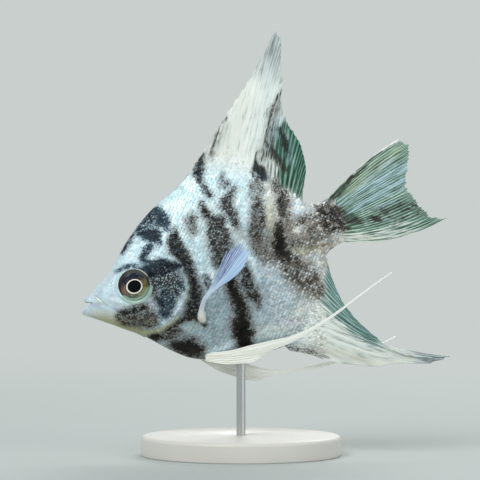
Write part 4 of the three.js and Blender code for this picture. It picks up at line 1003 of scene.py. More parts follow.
def fan(spec):
    """Surface of an unpaired fin at a share u of its root and v of the way out: straight from root line to
    tip line, bowed within the fin's plane and swaying out of it."""
    root = np.array(spec["root"])
    share = np.linspace(0, 1, len(root))
    root_x, root_z = (curve_through(np.stack([share, root[:, k]], -1)) for k in (0, 1))
    tips = np.array(spec["tips"])
    tip_x, tip_z = (curve_through(tips[:, [0, k]]) for k in (1, 2))

    def at(u, v):
        x0, z0, x1, z1 = root_x(u), root_z(u), tip_x(u), tip_z(u)
        lift = spec["bow"](u) * 4 * v * (1 - v)
        return np.stack([x0 + (x1 - x0) * v, spec["sway"](u) * v**2, z0 + (z1 - z0) * v + lift], -1)

    return at


def crest(share, out, count, forks):
    """1 on a fin ray and 0 midway between two: a cosine across the fin whose count doubles at each fork."""
    height = 0.5 + 0.5 * np.cos(2 * np.pi * count * share)
    for fork in forks:
        count = count * 2
        finer = 0.5 + 0.5 * np.cos(2 * np.pi * count * share)
        height = mix(height, finer, smooth_step(fork - 0.1, fork + 0.1, out))
    return height**1.4


def plate(at, across, along, reach, thickness):
    """Closed plate round the surface at(u, v): each face stands half the thickness off it along its normal,
    and a narrow rim joins the two. reach(u) is how far out each ray goes. Returns points, quads, u and v."""
    u, v = np.meshgrid(across, along, indexing="xy")
    v = v * reach(u)
    middle = at(u, v)
    normal = unit(np.cross(*np.gradient(middle, axis=(0, 1))))
    half = (thickness(u, v) / 2)[..., None]
    points = np.concatenate([middle + normal * half, middle - normal * half]).reshape(-1, 3)
    rows, wide = u.shape
    other = rows * wide
    face = grid_faces(rows, wide)
    root = np.arange(wide - 1)
    tip = root + (rows - 1) * wide
    front = np.arange(rows - 1) * wide
    rear = front + wide - 1
    rims = [(root, root + 1), (tip + 1, tip), (front + wide, front), (rear, rear + wide)]
    quads = np.concatenate([face, face[:, [0, 3, 2, 1]] + other,
                            *(np.stack([a, b, b + other, a + other], -1) for a, b in rims)])
    if inside_out(points, quads):
        quads = quads[:, ::-1]
    return points, quads, np.tile(u.ravel(), 2), np.tile(v.ravel(), 2)


def tip_reach(count, step, spiny, ragged, seed):
    """How far out each ray ends: spines stand a step past the membrane behind them, soft rays end in points
    of uneven length. spiny is the share of the root up to which the rays are spines."""
    dice = np.random.default_rng(seed)
    ends = count * 2
    lengths = curve_through(np.stack([np.arange(ends + 1) / ends, dice.normal(0, ragged, ends + 1)], -1))

    def reach(u):
        saw = 1 - step * np.mod(u * count + 1e-6, 1)
        soft = 1 + lengths(u) - 0.02 * (1 - crest(u, np.ones_like(u), ends, []))
        return np.where(u < spiny, saw, soft)

    return reach


def wall(distance, flesh):
    """Thickness of an unpaired fin at a distance from its root. It carries on the wedge of the body's own
    section and thins out evenly, so that the fin grows out of the body with no step."""
    return 0.16 + flesh * np.exp(-distance / (0.5 + 0.7 * flesh))


def sheath_reach(spec, u):
    """How far from the fin's root line the body's scaly skin goes out over it."""
    front, rear, start, end = spec["sheath"]
    return mix(front, rear, smooth_step(start, end, u))


def ray_length(at, u):
    """Distance from the root to the tip of the ray at a share u of the root."""
    return np.linalg.norm(at(u, np.ones_like(u)) - at(u, np.zeros_like(u)), axis=-1)


def ray_values(u, v, count, forks, width, length):
    """Where each point lies among the rays: its ray number with the shares of the first and second fork, its
    place across and along them in mm, and its share of the way out."""
    none = np.zeros_like(v)
    shares = [smooth_step(fork - 0.1, fork + 0.1, v) for fork in forks] + [none, none]
    return {"ray_place": np.stack([u * count, *shares[:2]], -1),
            "lay": np.stack([u * width, v * length, none], -1), "out": v}


# Lines behind which the dorsal fin turns from milky to smoky, first in full and then the rest, and the same
# line of the anal fin, as [x, z] in the side view.
DORSAL_TURN = [(53.4, 28.2), (50.6, 25.4), (49.0, 23.7), (47.8, 21.8), (46.9, 20.0), (45.9, 18.4),
               (44.8, 17.0), (43.6, 15.8), (43.0, 13.0)]
DORSAL_END = [(52.4, 21.4), (50.0, 20.9), (48.2, 20.2), (47.2, 18.6), (46.5, 17.0), (46.5, 15.4),
              (46.8, 13.8), (46.2, 11.6), (45.0, 10.0)]
ANAL_TURN = [(44.8, -13.0), (46.2, -18.5), (48.3, -22.5), (51.2, -26.0), (53.4, -27.7), (57.0, -28.4)]


def past(points, path, soft):
    """0 before a line of the side view and 1 past it, on the line's left hand."""
    gap, _, side = path_distance(points[:, 0], points[:, 2], path)
    return smooth_step(-soft, soft, gap * side + 0.5 * random_field(points, 1.3, 61))


def fin_tints(name, points, u, v):
    """How milky and how smoke-dimmed an unpaired fin is at each point."""
    x, z = points[:, 0], points[:, 2]
    if name == "dorsal_fin":
        turned = past(points, DORSAL_TURN, 1.5)
        milky = np.maximum(1 - turned, 0.85 * (1 - past(points, DORSAL_END, 1.5)))
        return milky, np.maximum(0.8 * smooth_step(27, 38, z + 0.6 * (x - 50)), 0.45 * turned)
    if name == "anal_fin":
        return (1 - past(points, ANAL_TURN, 1.8),
                0.3 * smooth_step(40, 50, x) + 0.72 * smooth_step(56, 63, x))
    milky = (0.55 * smooth_step(0.26, 0.12, u) * smooth_step(0.95, 0.6, v)
             + 0.5 * smooth_step(0.95, 0.98, u) * smooth_step(0.14, 0.26, v))
    return milky, 0.35 * smooth_step(0.975, 0.93, u) * smooth_step(0.05, 0.4, v)


def make_unpaired_fins(materials):
    """Dorsal, anal and tail fins, each one closed plate with raised rays."""
    for seed, (name, spec) in enumerate(FINS.items()):
        at, count, spiny = fan(spec), spec["rays"], spec["spines"]

        def thickness(u, v):
            ridge = mix(0.0, 0.08, smooth_step(1, 4, v * ray_length(at, u)))
            return wall(v * ray_length(at, u), spec["flesh"]) + ridge * crest(u, v, count, ())

        points, quads, u, v = plate(
            at, np.linspace(0, 1, spec["columns"]), np.linspace(0, 1, spec["rows"]) ** 0.9,
            tip_reach(count, spec["step"], spiny, spec["ragged"], 40 + seed), thickness)
        length = ray_length(at, u)
        half = len(points) // 2
        first_right = points[:half, 1] > points[half:, 1]
        values = two_sided_values(points, np.concatenate([first_right, ~first_right]))
        values.update(ray_values(u, v, count, spec["forks"], spec["width"], length))
        if spiny:
            values["ray_place"][:, 1] *= smooth_step(spiny, spiny + 0.15, u)
        edge = sheath_reach(spec, u) + 0.8 * random_field(points, 1.6, 51)
        values["sheath"] = smooth_step(edge + spec["soft"], edge - 0.6, v * length)
        values["milky"], values["dim"] = fin_tints(name, points, u, v)
        piece(name + "_rays", to_model(points), [quads], materials[name], (name,), values)


def lay_fin_scales(spec, right, dice):
    """Small scales on the fleshy root of an unpaired fin: the same shingle, laid along the rays in rows that
    follow the root line, and stood off the fin's face."""
    along, across, rise, faces = scale_shape()
    at = fan(spec)
    line = np.linspace(0, 1, 240)
    root = at(line, np.zeros_like(line))
    length = np.concatenate([[0], np.cumsum(np.linalg.norm(np.diff(root, axis=0), axis=-1))])
    k, i = np.meshgrid(np.arange(1, int(length[-1] / FIN_ROW)), np.arange(14), indexing="ij")
    place, out = (k * FIN_ROW).ravel(), (0.5 + (i + 0.5 * (k % 2)) * FIN_STEP).ravel()
    share = np.interp(place, length, line)
    reach = sheath_reach(spec, share) + dice.normal(0, 0.6, len(out))
    keep = out < np.minimum(reach, ray_length(at, share) - 0.9)
    place, out = place[keep][:, None], out[keep][:, None]
    count = len(place)
    turn = dice.normal(0, 0.09, (count, 1))
    place = place + dice.normal(0, 0.04, (count, 1))
    out = out + dice.normal(0, 0.06, (count, 1))
    forward, sideways = (along[None] - 0.5) * 1.1, across[None] * FIN_ROW
    distance = np.maximum(out + forward - turn * sideways, 0)
    u = np.interp(place + sideways + turn * forward, length, line)
    points = at(u, distance / ray_length(at, u))
    side = 1 if right else -1
    lift = 0.06 * np.clip(dice.normal(1, 0.25, (count, 1)), 0.5, 1.3)
    points[..., 1] += side * (wall(distance, spec["flesh"]) / 2 + rise[None] * lift)
    flat = points[:, faces]
    normal = np.cross(flat[:, :, 1] - flat[:, :, 0], flat[:, :, 2] - flat[:, :, 0])[..., 1].mean()
    if normal * side < 0:
        faces = faces[:, ::-1]
    points = points.reshape(-1, 3)
    patches = scale_patches(0.02 + place[:, 0] / 30, spec["shelf"] + out[:, 0] / 40, along, across)
    values = scale_values(points, right, count, along, across, dice)
    return points, repeated(faces, count, len(along)), values, patches


def joined(parts):
    """Several parts [points, quads, values, ...] as one: points, quads and values."""
    starts = np.cumsum([0] + [len(part[0]) for part in parts])
    return (np.concatenate([part[0] for part in parts]),
            np.concatenate([part[1] + start for part, start in zip(parts, starts)]),
            {key: np.concatenate([part[2][key] for part in parts]) for key in parts[0][2]})


def make_fin_scales(material):
    """The coat's second piece on each side: the scales of the dorsal, anal and tail fins' roots together."""
    for label, right in (("left", False), ("right", True)):
        dice = np.random.default_rng(9 + right)
        laid = [lay_fin_scales(spec, right, dice) for spec in FINS.values()]
        points, quads, values = joined(laid)
        patches = np.concatenate([part[3] for part in laid])
        piece("fin_scales_" + label, to_model(points), [quads], material, (), values, patches)


def make_pectoral_fins(material):
    """Thin curved fans behind the gill covers: a narrow fleshy stem that parts into rays. A ray's line is the
    quadratic blend of the upper, middle and lower lines, whose middle one draws the fan's outer edge out."""
    upper, middle, lower = (line_through(line) for line in PECTORAL)
    for name, side in (("pectoral_fin_left", -1), ("pectoral_fin_right", 1)):

        def at(u, v):
            w = u[..., None]
            p = (1 - w) ** 2 * upper(v) + 2 * w * (1 - w) * middle(v) + w**2 * lower(v)
            cup = 0.35 * np.sin(np.pi * u) * smooth_step(0.2, 1, v)
            return np.stack([p[..., 0], side * (p[..., 1] + cup), p[..., 2]], -1)

        def reach(u):
            return 0.96 + 0.03 * crest(u, np.ones_like(u), 12, []) - 0.03 * crest(u, u, 2, [])

        def thickness(u, v):
            round_off = np.sqrt(np.clip(1 - (2 * u - 1) ** 2, 0.02, 1))
            stem = mix(1.1, 0.08, smooth_step(0.02, 0.35, v)) * mix(round_off, 1, smooth_step(0.3, 0.5, v))
            return stem + 0.05 * crest(u, v, 6, (0.5,))

        points, quads, u, v = plate(at, np.linspace(0, 1, 110), np.linspace(0, 1, 60), reach, thickness)
        values = ray_values(u, v, 6, (0.55,), 6, 18)
        values["milky"] = smooth_step(0.35, 0.6, u)
        piece(name + "_rays", to_model(points), [quads], material, (name,), values)


def make_pelvic_fins(material):
    """Narrow blades of rays. The first ray is drawn out into a long thread that tapers to its tip; the others
    end in points along the blade's lower edge. The two closed plates overlap along the blade."""
    for name, lines, side, short in (("pelvic_fin_left", PELVIC_LEFT, -1, 0.40),
                                     ("pelvic_fin_right", PELVIC_RIGHT, 1, 0.36)):
        upper, lower = (line_through(line) for line in lines)

        def at_share(share, v):
            p = mix(upper(v), lower(v), share[..., None])
            p[..., 1] *= side
            return p

        def thread(u, v):
            low = mix(0.62, 1.0, smooth_step(short - 0.05, 0.6, v))
            taper = 1 - 0.45 * smooth_step(0.6, 1.0, v)
            return at_share(0.5 * low + (u - 0.5) * low * taper, v)

        def blade(u, v):
            return at_share(mix(0.42, 1.0, u), v)

        def thread_wall(u, v):
            rounded_off = 0.55 + 0.45 * np.sin(np.pi * u)
            return mix(0.6, 0.3, smooth_step(0, 0.6, v)) * rounded_off * (0.9 + 0.1 * crest(u, v, 3, ()))

        def blade_wall(u, v):
            return mix(0.55, 0.2, smooth_step(0, short, v)) * mix(0.7, 1.0, crest(u, v, 4, ()))

        def blade_reach(u):
            return short * (0.98 - 0.1 * u - 0.12 * np.mod(u * 4.0, 1))

        parts = []
        for at, columns, rows, reach, thickness, count, width in (
            (thread, 19, 170, np.ones_like, thread_wall, 3, 2),
            (blade, 57, 70, blade_reach, blade_wall, 4, 4),
        ):
            across, along = np.linspace(0, 1, columns), np.linspace(0, 1, rows)
            points, quads, u, v = plate(at, across, along, reach, thickness)
            parts.append((points, quads, ray_values(u, v, count, (), width, 44)))
        points, quads, values = joined(parts)
        piece(name + "_rays", to_model(points), [quads], material, (name,), values)


# ---- eyes -------------------------------------------------------------------------------------------
def make_eyes(material):
    """Each eye is a profile turned about its axis: a flattened ball with a low dome for the lens, looking
    straight out and slightly down. The pupil sits a little low in the iris."""
    around, front_height, rear_height, lens_height = 96, 1.15, 1.0, 0.14
    swing = np.linspace(0, np.pi, 90)[1:-1]
    in_front = swing < np.pi / 2
    radius = EYE_RADIUS * np.sin(swing)
    height = np.where(in_front, front_height, rear_height) * np.cos(swing)
    height = height + lens_height * smooth_step(1.5, 1.15, radius) * in_front
    r, turn = np.meshgrid(radius, np.arange(around) * 2 * np.pi / around, indexing="ij")
    h = np.repeat(height[:, None], around, axis=1)
    flat = np.stack([r * np.cos(turn), h, r * np.sin(turn)], -1).reshape(-1, 3)
    flat = np.concatenate([flat, [(0, front_height + lens_height, 0)], [(0, -rear_height, 0)]])
    axis = unit(np.array([0.0, 1.0, -0.03]))
    right_way = unit(np.cross(axis, (0, 0, 1.0)))
    turned = np.arctan2(flat[:, 2], flat[:, 0])
    swirl = np.stack([np.cos(turned), np.sin(turned), np.hypot(flat[:, 0], flat[:, 2])], -1)
    values = {"gaze": flat[:, [0, 2, 1]] - (-0.06, -0.19, 0), "swirl": swirl}
    for name, side in (("eye_left", -1), ("eye_right", 1)):
        points = flat @ np.stack([right_way, axis, np.cross(right_way, axis)])
        points = points * (1, side, 1) + (ORBIT[0], side * EYE_STAND, ORBIT[1])
        faces = ring_faces(len(radius), around)
        if inside_out(points, faces[0]):
            faces = [part[:, ::-1] for part in faces]
        piece(name + "_ball", to_model(points), faces, material, (name,), values)


# ---- stand ------------------------------------------------------------------------------------------
def lathe(profile, around):
    """A profile of [radius, height] turned about the vertical axis, from its bottom to its top middle."""
    profile = np.array(profile, float)
    turn = np.arange(around) * 2 * np.pi / around
    inner = profile[1:-1]
    rings = np.stack([inner[:, :1] * np.cos(turn), inner[:, :1] * np.sin(turn),
                      np.repeat(inner[:, 1:], around, axis=1)], -1)
    points = np.concatenate([rings.reshape(-1, 3), [(0, 0, profile[0, 1])], [(0, 0, profile[-1, 1])]])
    quads, fans = ring_faces(len(inner), around)
    return points, [quads[:, [0, 3, 2, 1]], fans[:, [1, 0, 2]]]


def rounded(centre, radius, start, end, steps):
    """Points of an arc in a lathe's profile, angles in degrees from straight outwards."""
    turn = np.radians(np.linspace(start, end, steps))
    return np.stack([centre[0] + radius * np.cos(turn), centre[1] + radius * np.sin(turn)], -1)


def make_stand(base_material, rod_material):
    """A low cast disc with rounded edges, and a straight rod from it into the belly."""
    profile = np.concatenate([
        [(0, 0)], [(STAND_RADIUS - 4, 0)],
        rounded((STAND_RADIUS - STAND_FOOT, STAND_FOOT), STAND_FOOT, -90, 0, 6),
        rounded((STAND_RADIUS - STAND_EDGE, STAND_HEIGHT - STAND_EDGE), STAND_EDGE, 0, 90, 12),
        [(STAND_RADIUS - 4, STAND_HEIGHT)], [(ROD_RADIUS + 0.35, STAND_HEIGHT)],
        [(ROD_RADIUS + 0.2, STAND_HEIGHT - 0.12)], [(0, STAND_HEIGHT - 0.12)]])
    points, faces = lathe(profile, 160)
    piece("base_disc", points * MM, faces, base_material, ("stand_base",))
    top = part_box("stand_rod")[1].z / MM
    heights = np.linspace(ROD_FOOT, top - 0.3, 40)
    profile = np.concatenate([[(0, ROD_FOOT)], np.stack([np.full(40, ROD_RADIUS), heights], -1),
                              [(ROD_RADIUS - 0.3, top)], [(0, top)]])
    points, faces = lathe(profile, 48)
    piece("rod", points * MM, faces, rod_material, ("stand_rod",))


# ---- materials --------------------------------------------------------------------------------------
def blend(tree, share, low, high):
    """Colour mixed from low to high; each is an sRGB hex or a socket."""
    ends = [linear(colour) if isinstance(colour, str) else colour for colour in (low, high)]
    return add(tree, "Mix", {0: share, 6: ends[0], 7: ends[1]}, out=2, data_type="RGBA")


def read(tree, key, out="Fac"):
    """Value that the piece carries at each point under this name."""
    return add(tree, "Attribute", out=out, attribute_name=key)


def ink_share(tree, place, spread, uneven=0.0):
    """Where a dark mark shows: its level, roughened by noise of 0.3 mm and 1.2 mm and from scale to scale,
    and cut softly."""
    level = read(tree, "marking")
    for cell, amount, detail in ((0.32, spread, 2.0), (1.2, 0.35, 1.0)):
        noise = add(tree, "TexNoise",
                    {"Vector": place, "Scale": 1000 / cell, "Detail": detail, "Roughness": 0.6})
        noise = add(tree, "MapRange", {0: noise, 1: 0.3, 2: 0.7, 3: -amount, 4: amount})
        level = add(tree, "Math", {0: level, 1: noise}, operation="ADD")
    level = add(tree, "Math", {0: level, 1: uneven}, operation="ADD")
    return add(tree, "MapRange", {0: level, 1: -0.5, 2: 0.55}, **EASED)


def skin_colour(tree, place, scaled):
    """Colour of the skin and its scales: grey-blue flank, pale back, the tones, then dark pigment on top."""
    flank = blend(tree, read(tree, "rear"), "#94a9b0", "#b1c4cc")
    flank = blend(tree, read(tree, "hind"), flank, "#b9b4ac")
    back = read(tree, "back")
    slate = read(tree, "slate")
    colour = blend(tree, back, flank, blend(tree, read(tree, "hind"), "#dbf5fc", "#f2f6f2"))
    # Guanine under the skin throws back slightly different tints from place to place.
    cloud = add(tree, "TexNoise", {"Vector": place, "Scale": 1000 / 3.0, "Detail": 2.0})
    shadow = add(tree, "MapRange", {0: cloud, 1: 0.44, 2: 0.68, 3: 0.0, 4: 0.4}, **EASED)
    colour = blend(tree, shadow, colour, "#a6c7d3")
    pearl = add(tree, "TexNoise", {"Vector": place, "Scale": 1000 / 1.3, "Detail": 2.0})
    pearl = add(tree, "MapRange", {0: pearl, 1: 0.48, 2: 0.7, 3: 0.0, 4: 0.4}, **EASED)
    colour = blend(tree, pearl, colour, blend(tree, back, "#b9b4bf", "#eee9e8"))
    grain = add(tree, "TexNoise", {"Vector": place, "Scale": 1000 / 0.5, "Detail": 2.0, "Roughness": 0.6})
    # Each tone is broken up by the same grain, so that none reads as a painted patch.
    for key, tone, least in (("cream", "#f2f9f2", 0.7), ("sand", "#cfc4b2", 0.5), ("dusk", "#5a5043", 0.3),
                             ("warm", "#b0b184", 0.75), ("lilac", "#b9b0cd", 0.4), ("frost", "#d3e6f2", 0.6)):
        broken = add(tree, "MapRange", {0: grain, 1: 0.36, 2: 0.62, 3: least, 4: 1.0})
        share = add(tree, "Math", {0: read(tree, key), 1: broken}, **TIMES)
        colour = blend(tree, share, colour, tone)
    # Thin pigment greys the skin for a little way round each dark mark.
    smudge = add(tree, "MapRange", {0: read(tree, "marking"), 1: -1.3, 2: 0.3, 3: 0.0, 4: 0.6}, **EASED)
    colour = blend(tree, smudge, colour, blend(tree, slate, "#5c5348", "#4c6478"))
    least = add(tree, "MapRange", {0: back, 3: 0.74, 4: 0.92})
    shade = add(tree, "MapRange", {0: grain, 1: 0.3, 2: 0.64, 3: least, 4: 1.13})
    if scaled:
        # Towards the tail the scales differ more from one another.
        own = add(tree, "MapRange", {0: read(tree, "hind"), 3: 0.4, 4: 0.75})
        flake = add(tree, "MapRange", {0: read(tree, "flake"), 3: -0.5, 4: 0.5})
        own = add(tree, "Math", {0: flake, 1: own}, **TIMES)
        shade = add(tree, "Math", {0: shade, 1: add(tree, "Math", {0: own, 1: 1.0})}, **TIMES)
    shade = add(tree, "CombineColor", {0: shade, 1: shade, 2: shade})
    colour = add(tree, "Mix", {0: 1.0, 6: colour, 7: shade}, out=2, data_type="RGBA", blend_type="MULTIPLY",
                 clamp_result=True)
    # Single guanine crystals lie loose in the dark marks: bent round dots, of which fleck lights a share.
    bent = add(tree, "TexNoise", {"Vector": place, "Scale": 1000 / 0.5, "Detail": 1.0}, out="Color")
    bent = add(tree, "VectorMath", {0: bent, 1: (0.0005, 0.0005, 0.0005), 2: place}, operation="MULTIPLY_ADD")
    dots = add(tree, "TexVoronoi", {"Vector": bent, "Scale": 1000 / 0.4, "Randomness": 1.0}, out="Distance")
    lit = add(tree, "SeparateColor", {0: dots.node.outputs["Color"]})
    lit = add(tree, "Math", {0: lit, 1: read(tree, "fleck")}, operation="ADD")
    lit = add(tree, "MapRange", {0: lit, 1: 1.1, 2: 1.6, 3: 0.0, 4: 1.0})
    dots = add(tree, "MapRange", {0: dots, 1: 0.1, 2: 0.48, 3: 1.0, 4: 0.0}, **EASED)
    dots = add(tree, "Math", {0: dots, 1: lit}, **TIMES)
    uneven = 0.0
    if scaled:
        # Painted shade along each scale's free edge, where it turns down over the next.
        edge = add(tree, "Math", {0: read(tree, "painted_edge_shade"), 1: 0.5}, **TIMES)
        colour = blend(tree, edge, colour, "#5c6c72")
        # Painted highlight: each scale's bright spot stands in for light reflected off its guanine.
        painted_sparkle_share = add(tree, "Math", {0: read(tree, "painted_sparkle_spot"), 1: read(tree, "painted_sparkle_strength")}, **TIMES)
        colour = blend(tree, painted_sparkle_share, colour, "#f8fdfd")
        uneven = add(tree, "Math", {0: own, 1: 1.3}, **TIMES)
    smoke = add(tree, "MapRange", {0: cloud, 1: 0.38, 2: 0.62})
    black, blue = blend(tree, smoke, "#090908", "#25231f"), blend(tree, smoke, "#0f1824", "#2b4351")
    ink = blend(tree, slate, black, blue)
    # Where a mark is thin it is brown rather than black.
    thick = add(tree, "MapRange", {0: read(tree, "marking"), 1: -0.3, 2: 0.65})
    ink = blend(tree, thick, blend(tree, slate, "#453b33", "#304454"), ink)
    ink = blend(tree, dots, ink, blend(tree, slate, "#a3a699", "#cbe4ec"))
    if scaled:
        # In a flecked mark the scales' painted sparkles still show through.
        painted_sparkle_share = add(tree, "Math", {0: painted_sparkle_share, 1: read(tree, "fleck")}, **TIMES)
        ink = blend(tree, painted_sparkle_share, ink, "#d9dfda")
    dark = ink_share(tree, place, 0.65, uneven)
    return blend(tree, dark, colour, ink), dark


def skin_material(name, scaled):
    """Living fish skin, thin and wet over mirror-like guanine: soft silver, faintly metallic where it is pale
    and plain where pigment covers it. The scaled version adds each scale's painted sparkle of reflected light
    and painted shade along its free edge, and the bare version the white lid above the eye, the pale green
    fold below it and painted shade in the socket round the eye ball."""
    material, tree = new_material(name)
    place = add(tree, "TexCoord", out="Object")
    colour, dark = skin_colour(tree, place, scaled)
    if not scaled:
        orbit = read(tree, "orbit", "Vector")
        radius = add(tree, "VectorMath", {0: orbit}, out="Value", operation="LENGTH")
        parts = tree.nodes.new("ShaderNodeSeparateXYZ")
        tree.links.new(orbit, parts.inputs[0])
        for start, full, outer, strength, tone in (
            (0.2, 1.7, 3.4, 0.95, "#f4f5ee"),
            (-0.8, -2.0, 3.80, 0.85, "#a9c3b6"),
        ):
            side = add(tree, "MapRange", {0: parts.outputs[1], 1: start, 2: full}, **EASED)
            near = add(tree, "MapRange", {0: radius, 1: outer - 0.16, 2: outer, 3: strength, 4: 0.0}, **EASED)
            colour = blend(tree, add(tree, "Math", {0: near, 1: side}, **TIMES), colour, tone)
        # Painted shade: the skin in the socket, round the eye ball, is darkened to near black.
        inside = add(tree, "MapRange", {0: radius, 1: 2.98, 2: 3.1, 3: 1.0, 4: 0.0})
        colour = blend(tree, inside, colour, "#15181b")
    metal = add(tree, "MapRange", {0: dark, 3: 0.16, 4: 0.0})
    rough = add(tree, "MapRange", {0: dark, 3: 0.36, 4: 0.45})
    fine = add(tree, "TexNoise", {"Vector": place, "Scale": 1000 / 0.28, "Detail": 2.0})
    normal = add(tree, "Bump", {"Height": fine, "Distance": 0.00004, "Strength": 0.5})
    shader = add(tree, "BsdfPrincipled", {
        "Base Color": colour, "Metallic": metal, "Roughness": rough, "Normal": normal, "IOR": 1.38,
        "Specular IOR Level": 0.12, "Coat Weight": 0.05, "Coat Roughness": 0.2, "Coat IOR": 1.34})
    finish_with(tree, shader)
    return material


def ray_lines(tree):
    """The fin's bony rays as bright lines: a cosine of the ray's number, whose count doubles where the rays
    fork, made narrow by a power. Each ray has its own strength. Returns the lines and streaks along them."""
    parts = tree.nodes.new("ShaderNodeSeparateXYZ")
    tree.links.new(read(tree, "ray_place", "Vector"), parts.inputs[0])
    waves = []
    for count in (1, 2, 4):
        turn = add(tree, "Math", {0: parts.outputs[0], 1: 2 * np.pi * count}, **TIMES)
        waves.append(add(tree, "MapRange", {0: add(tree, "Math", {0: turn}, operation="COSINE"), 1: -1.0}))
    once = add(tree, "Mix", {0: parts.outputs[1], 2: waves[0], 3: waves[1]})
    twice = add(tree, "Mix", {0: parts.outputs[2], 2: once, 3: waves[2]})
    line = add(tree, "Math", {0: twice, 1: 2.2}, operation="POWER")
    number = add(tree, "Math", {0: parts.outputs[0], 1: 2.0}, **TIMES)
    number = add(tree, "Math", {0: number}, operation="ROUND")
    own = add(tree, "TexWhiteNoise", {"W": number}, out="Value", noise_dimensions="1D")
    own = add(tree, "MapRange", {0: own, 3: 0.55, 4: 1.1})
    line = add(tree, "Math", {0: line, 1: own}, **TIMES)
    lay = read(tree, "lay", "Vector")
    long_way = add(tree, "VectorMath", {0: lay, 1: (1.9, 0.2, 1.0)}, **TIMES)
    streak = add(tree, "TexNoise", {"Vector": long_way, "Scale": 1.0, "Detail": 3.0, "Roughness": 0.6})
    return line, add(tree, "MapRange", {0: streak, 1: 0.36, 2: 0.64})


def fin_material(name, membrane, ray):
    """Fin membrane between bony rays: smoky and slightly clear where it is thin, milky in the fins' leading
    parts, with pale rays. The body's own skin and its pigment run out over the root with no edge."""
    material, tree = new_material(name)
    place = add(tree, "TexCoord", out="Object")
    milky, out, dim, sheath = (read(tree, key) for key in ("milky", "out", "dim", "sheath"))
    line, uneven = ray_lines(tree)
    # The milky part ends ray by ray, not along one line.
    ragged = add(tree, "MapRange", {0: uneven, 3: -0.35, 4: 0.35})
    milky = add(tree, "Math", {0: milky, 1: ragged}, operation="ADD")
    milky = add(tree, "MapRange", {0: milky, 1: 0.25, 2: 0.75})
    cream, dimmed = blend(tree, uneven, "#d0dcd5", "#f9fdf8"), blend(tree, uneven, "#46524f", "#9cabab")
    cream = blend(tree, dim, cream, dimmed)
    between = blend(tree, milky, blend(tree, uneven, membrane[0], membrane[1]), cream)
    bone = blend(tree, milky, blend(tree, out, ray[0], ray[1]), blend(tree, dim, "#fcfdf8", "#ccd6da"))
    broken = add(tree, "MapRange", {0: uneven, 3: 0.6, 4: 1.1})
    rib = add(tree, "Math", {0: line, 1: broken}, **TIMES, use_clamp=True)
    colour = blend(tree, rib, between, bone)
    lit = add(tree, "Math", {0: rib, 1: uneven}, operation="ADD")
    lit = add(tree, "MapRange", {0: lit, 1: 0.3, 2: 1.1, 3: 0.1, 4: 1.0})
    for key, tone in (("sand", "#d6d6c4"), ("dusk", "#7d7f78"), ("warm", "#b7c4a6"), ("frost", "#bddbea")):
        share = add(tree, "Math", {0: read(tree, key), 1: lit}, **TIMES)
        colour = blend(tree, share, colour, tone)
    own_skin, _ = skin_colour(tree, place, False)
    # Pigment follows the rays: the noise that breaks it up is drawn out along them.
    lay = read(tree, "lay", "Vector")
    along = add(tree, "VectorMath", {0: lay, 1: (0.0013, 0.0003, 0)}, **TIMES)
    dark = ink_share(tree, along, 0.4, add(tree, "MapRange", {0: uneven, 3: -0.4, 4: 0.4}))
    ink = blend(tree, read(tree, "slate"), "#2d2e28", "#181f26")
    ink = blend(tree, add(tree, "Math", {0: rib, 1: 0.04}, **TIMES), ink, bone)
    colour = blend(tree, dark, colour, ink)
    colour = blend(tree, sheath, colour, own_skin)
    solid = milky
    for share in (sheath, rib, dark):
        solid = add(tree, "Math", {0: solid, 1: share}, operation="MAXIMUM")
    alpha = add(tree, "MapRange", {0: solid, 3: 0.9, 4: 1.0})
    finish_with(tree, add(tree, "BsdfPrincipled", {
        "Base Color": colour, "Roughness": 0.45, "IOR": 1.4, "Specular IOR Level": 0.35, "Alpha": alpha}))
    return material


def pelvic_material():
    """Bony fin rays bound by a little skin: white to cream, close to opaque, fine grooves between them."""
    material, tree = new_material("cream_fin_rays")
    line, uneven = ray_lines(tree)
    grooves = blend(tree, read(tree, "out"), blend(tree, uneven, "#dcddc6", "#f4f6ee"), "#f4f7f4")
    bone = blend(tree, uneven, "#f8faf2", "#ffffff")
    finish_with(tree, add(tree, "BsdfPrincipled", {
        "Base Color": blend(tree, line, grooves, bone), "Roughness": 0.45, "IOR": 1.4,
        "Specular IOR Level": 0.3}))
    return material


def pectoral_material():
    """The clearest fin membrane, with a bluish sheen and fine whitish rays that part towards the edge."""
    material, tree = new_material("clear_fin_membrane")
    line, uneven = ray_lines(tree)
    out, milky = read(tree, "out"), read(tree, "milky")
    spread = add(tree, "MapRange", {0: out, 1: 0.5, 2: 0.75}, **EASED)
    clear = blend(tree, uneven, "#4661a6", "#a4c0f0")
    stem, vane = blend(tree, uneven, "#b2c9e6", "#d6e4f2"), blend(tree, milky, clear, "#b1d2f6")
    between = blend(tree, spread, stem, vane)
    thin = add(tree, "Math", {0: line, 1: uneven}, **TIMES)
    colour = blend(tree, thin, between, "#e9f4fd")
    root = add(tree, "MapRange", {0: out, 1: 0.12, 2: 0.45, 3: 1.0, 4: 0.0}, **EASED)
    colour = blend(tree, root, colour, blend(tree, uneven, "#d5d3ca", "#f3f2ec"))
    least = add(tree, "Mix", {0: milky, 2: 0.3, 3: 0.85})
    thin = add(tree, "MapRange", {0: thin, 1: 0.0, 2: 0.6, 3: least, 4: 0.95})
    alpha = add(tree, "Mix", {0: spread, 2: 0.95, 3: thin})
    finish_with(tree, add(tree, "BsdfPrincipled",
                          {"Base Color": colour, "Roughness": 0.35, "IOR": 1.4, "Alpha": alpha}))
    return material


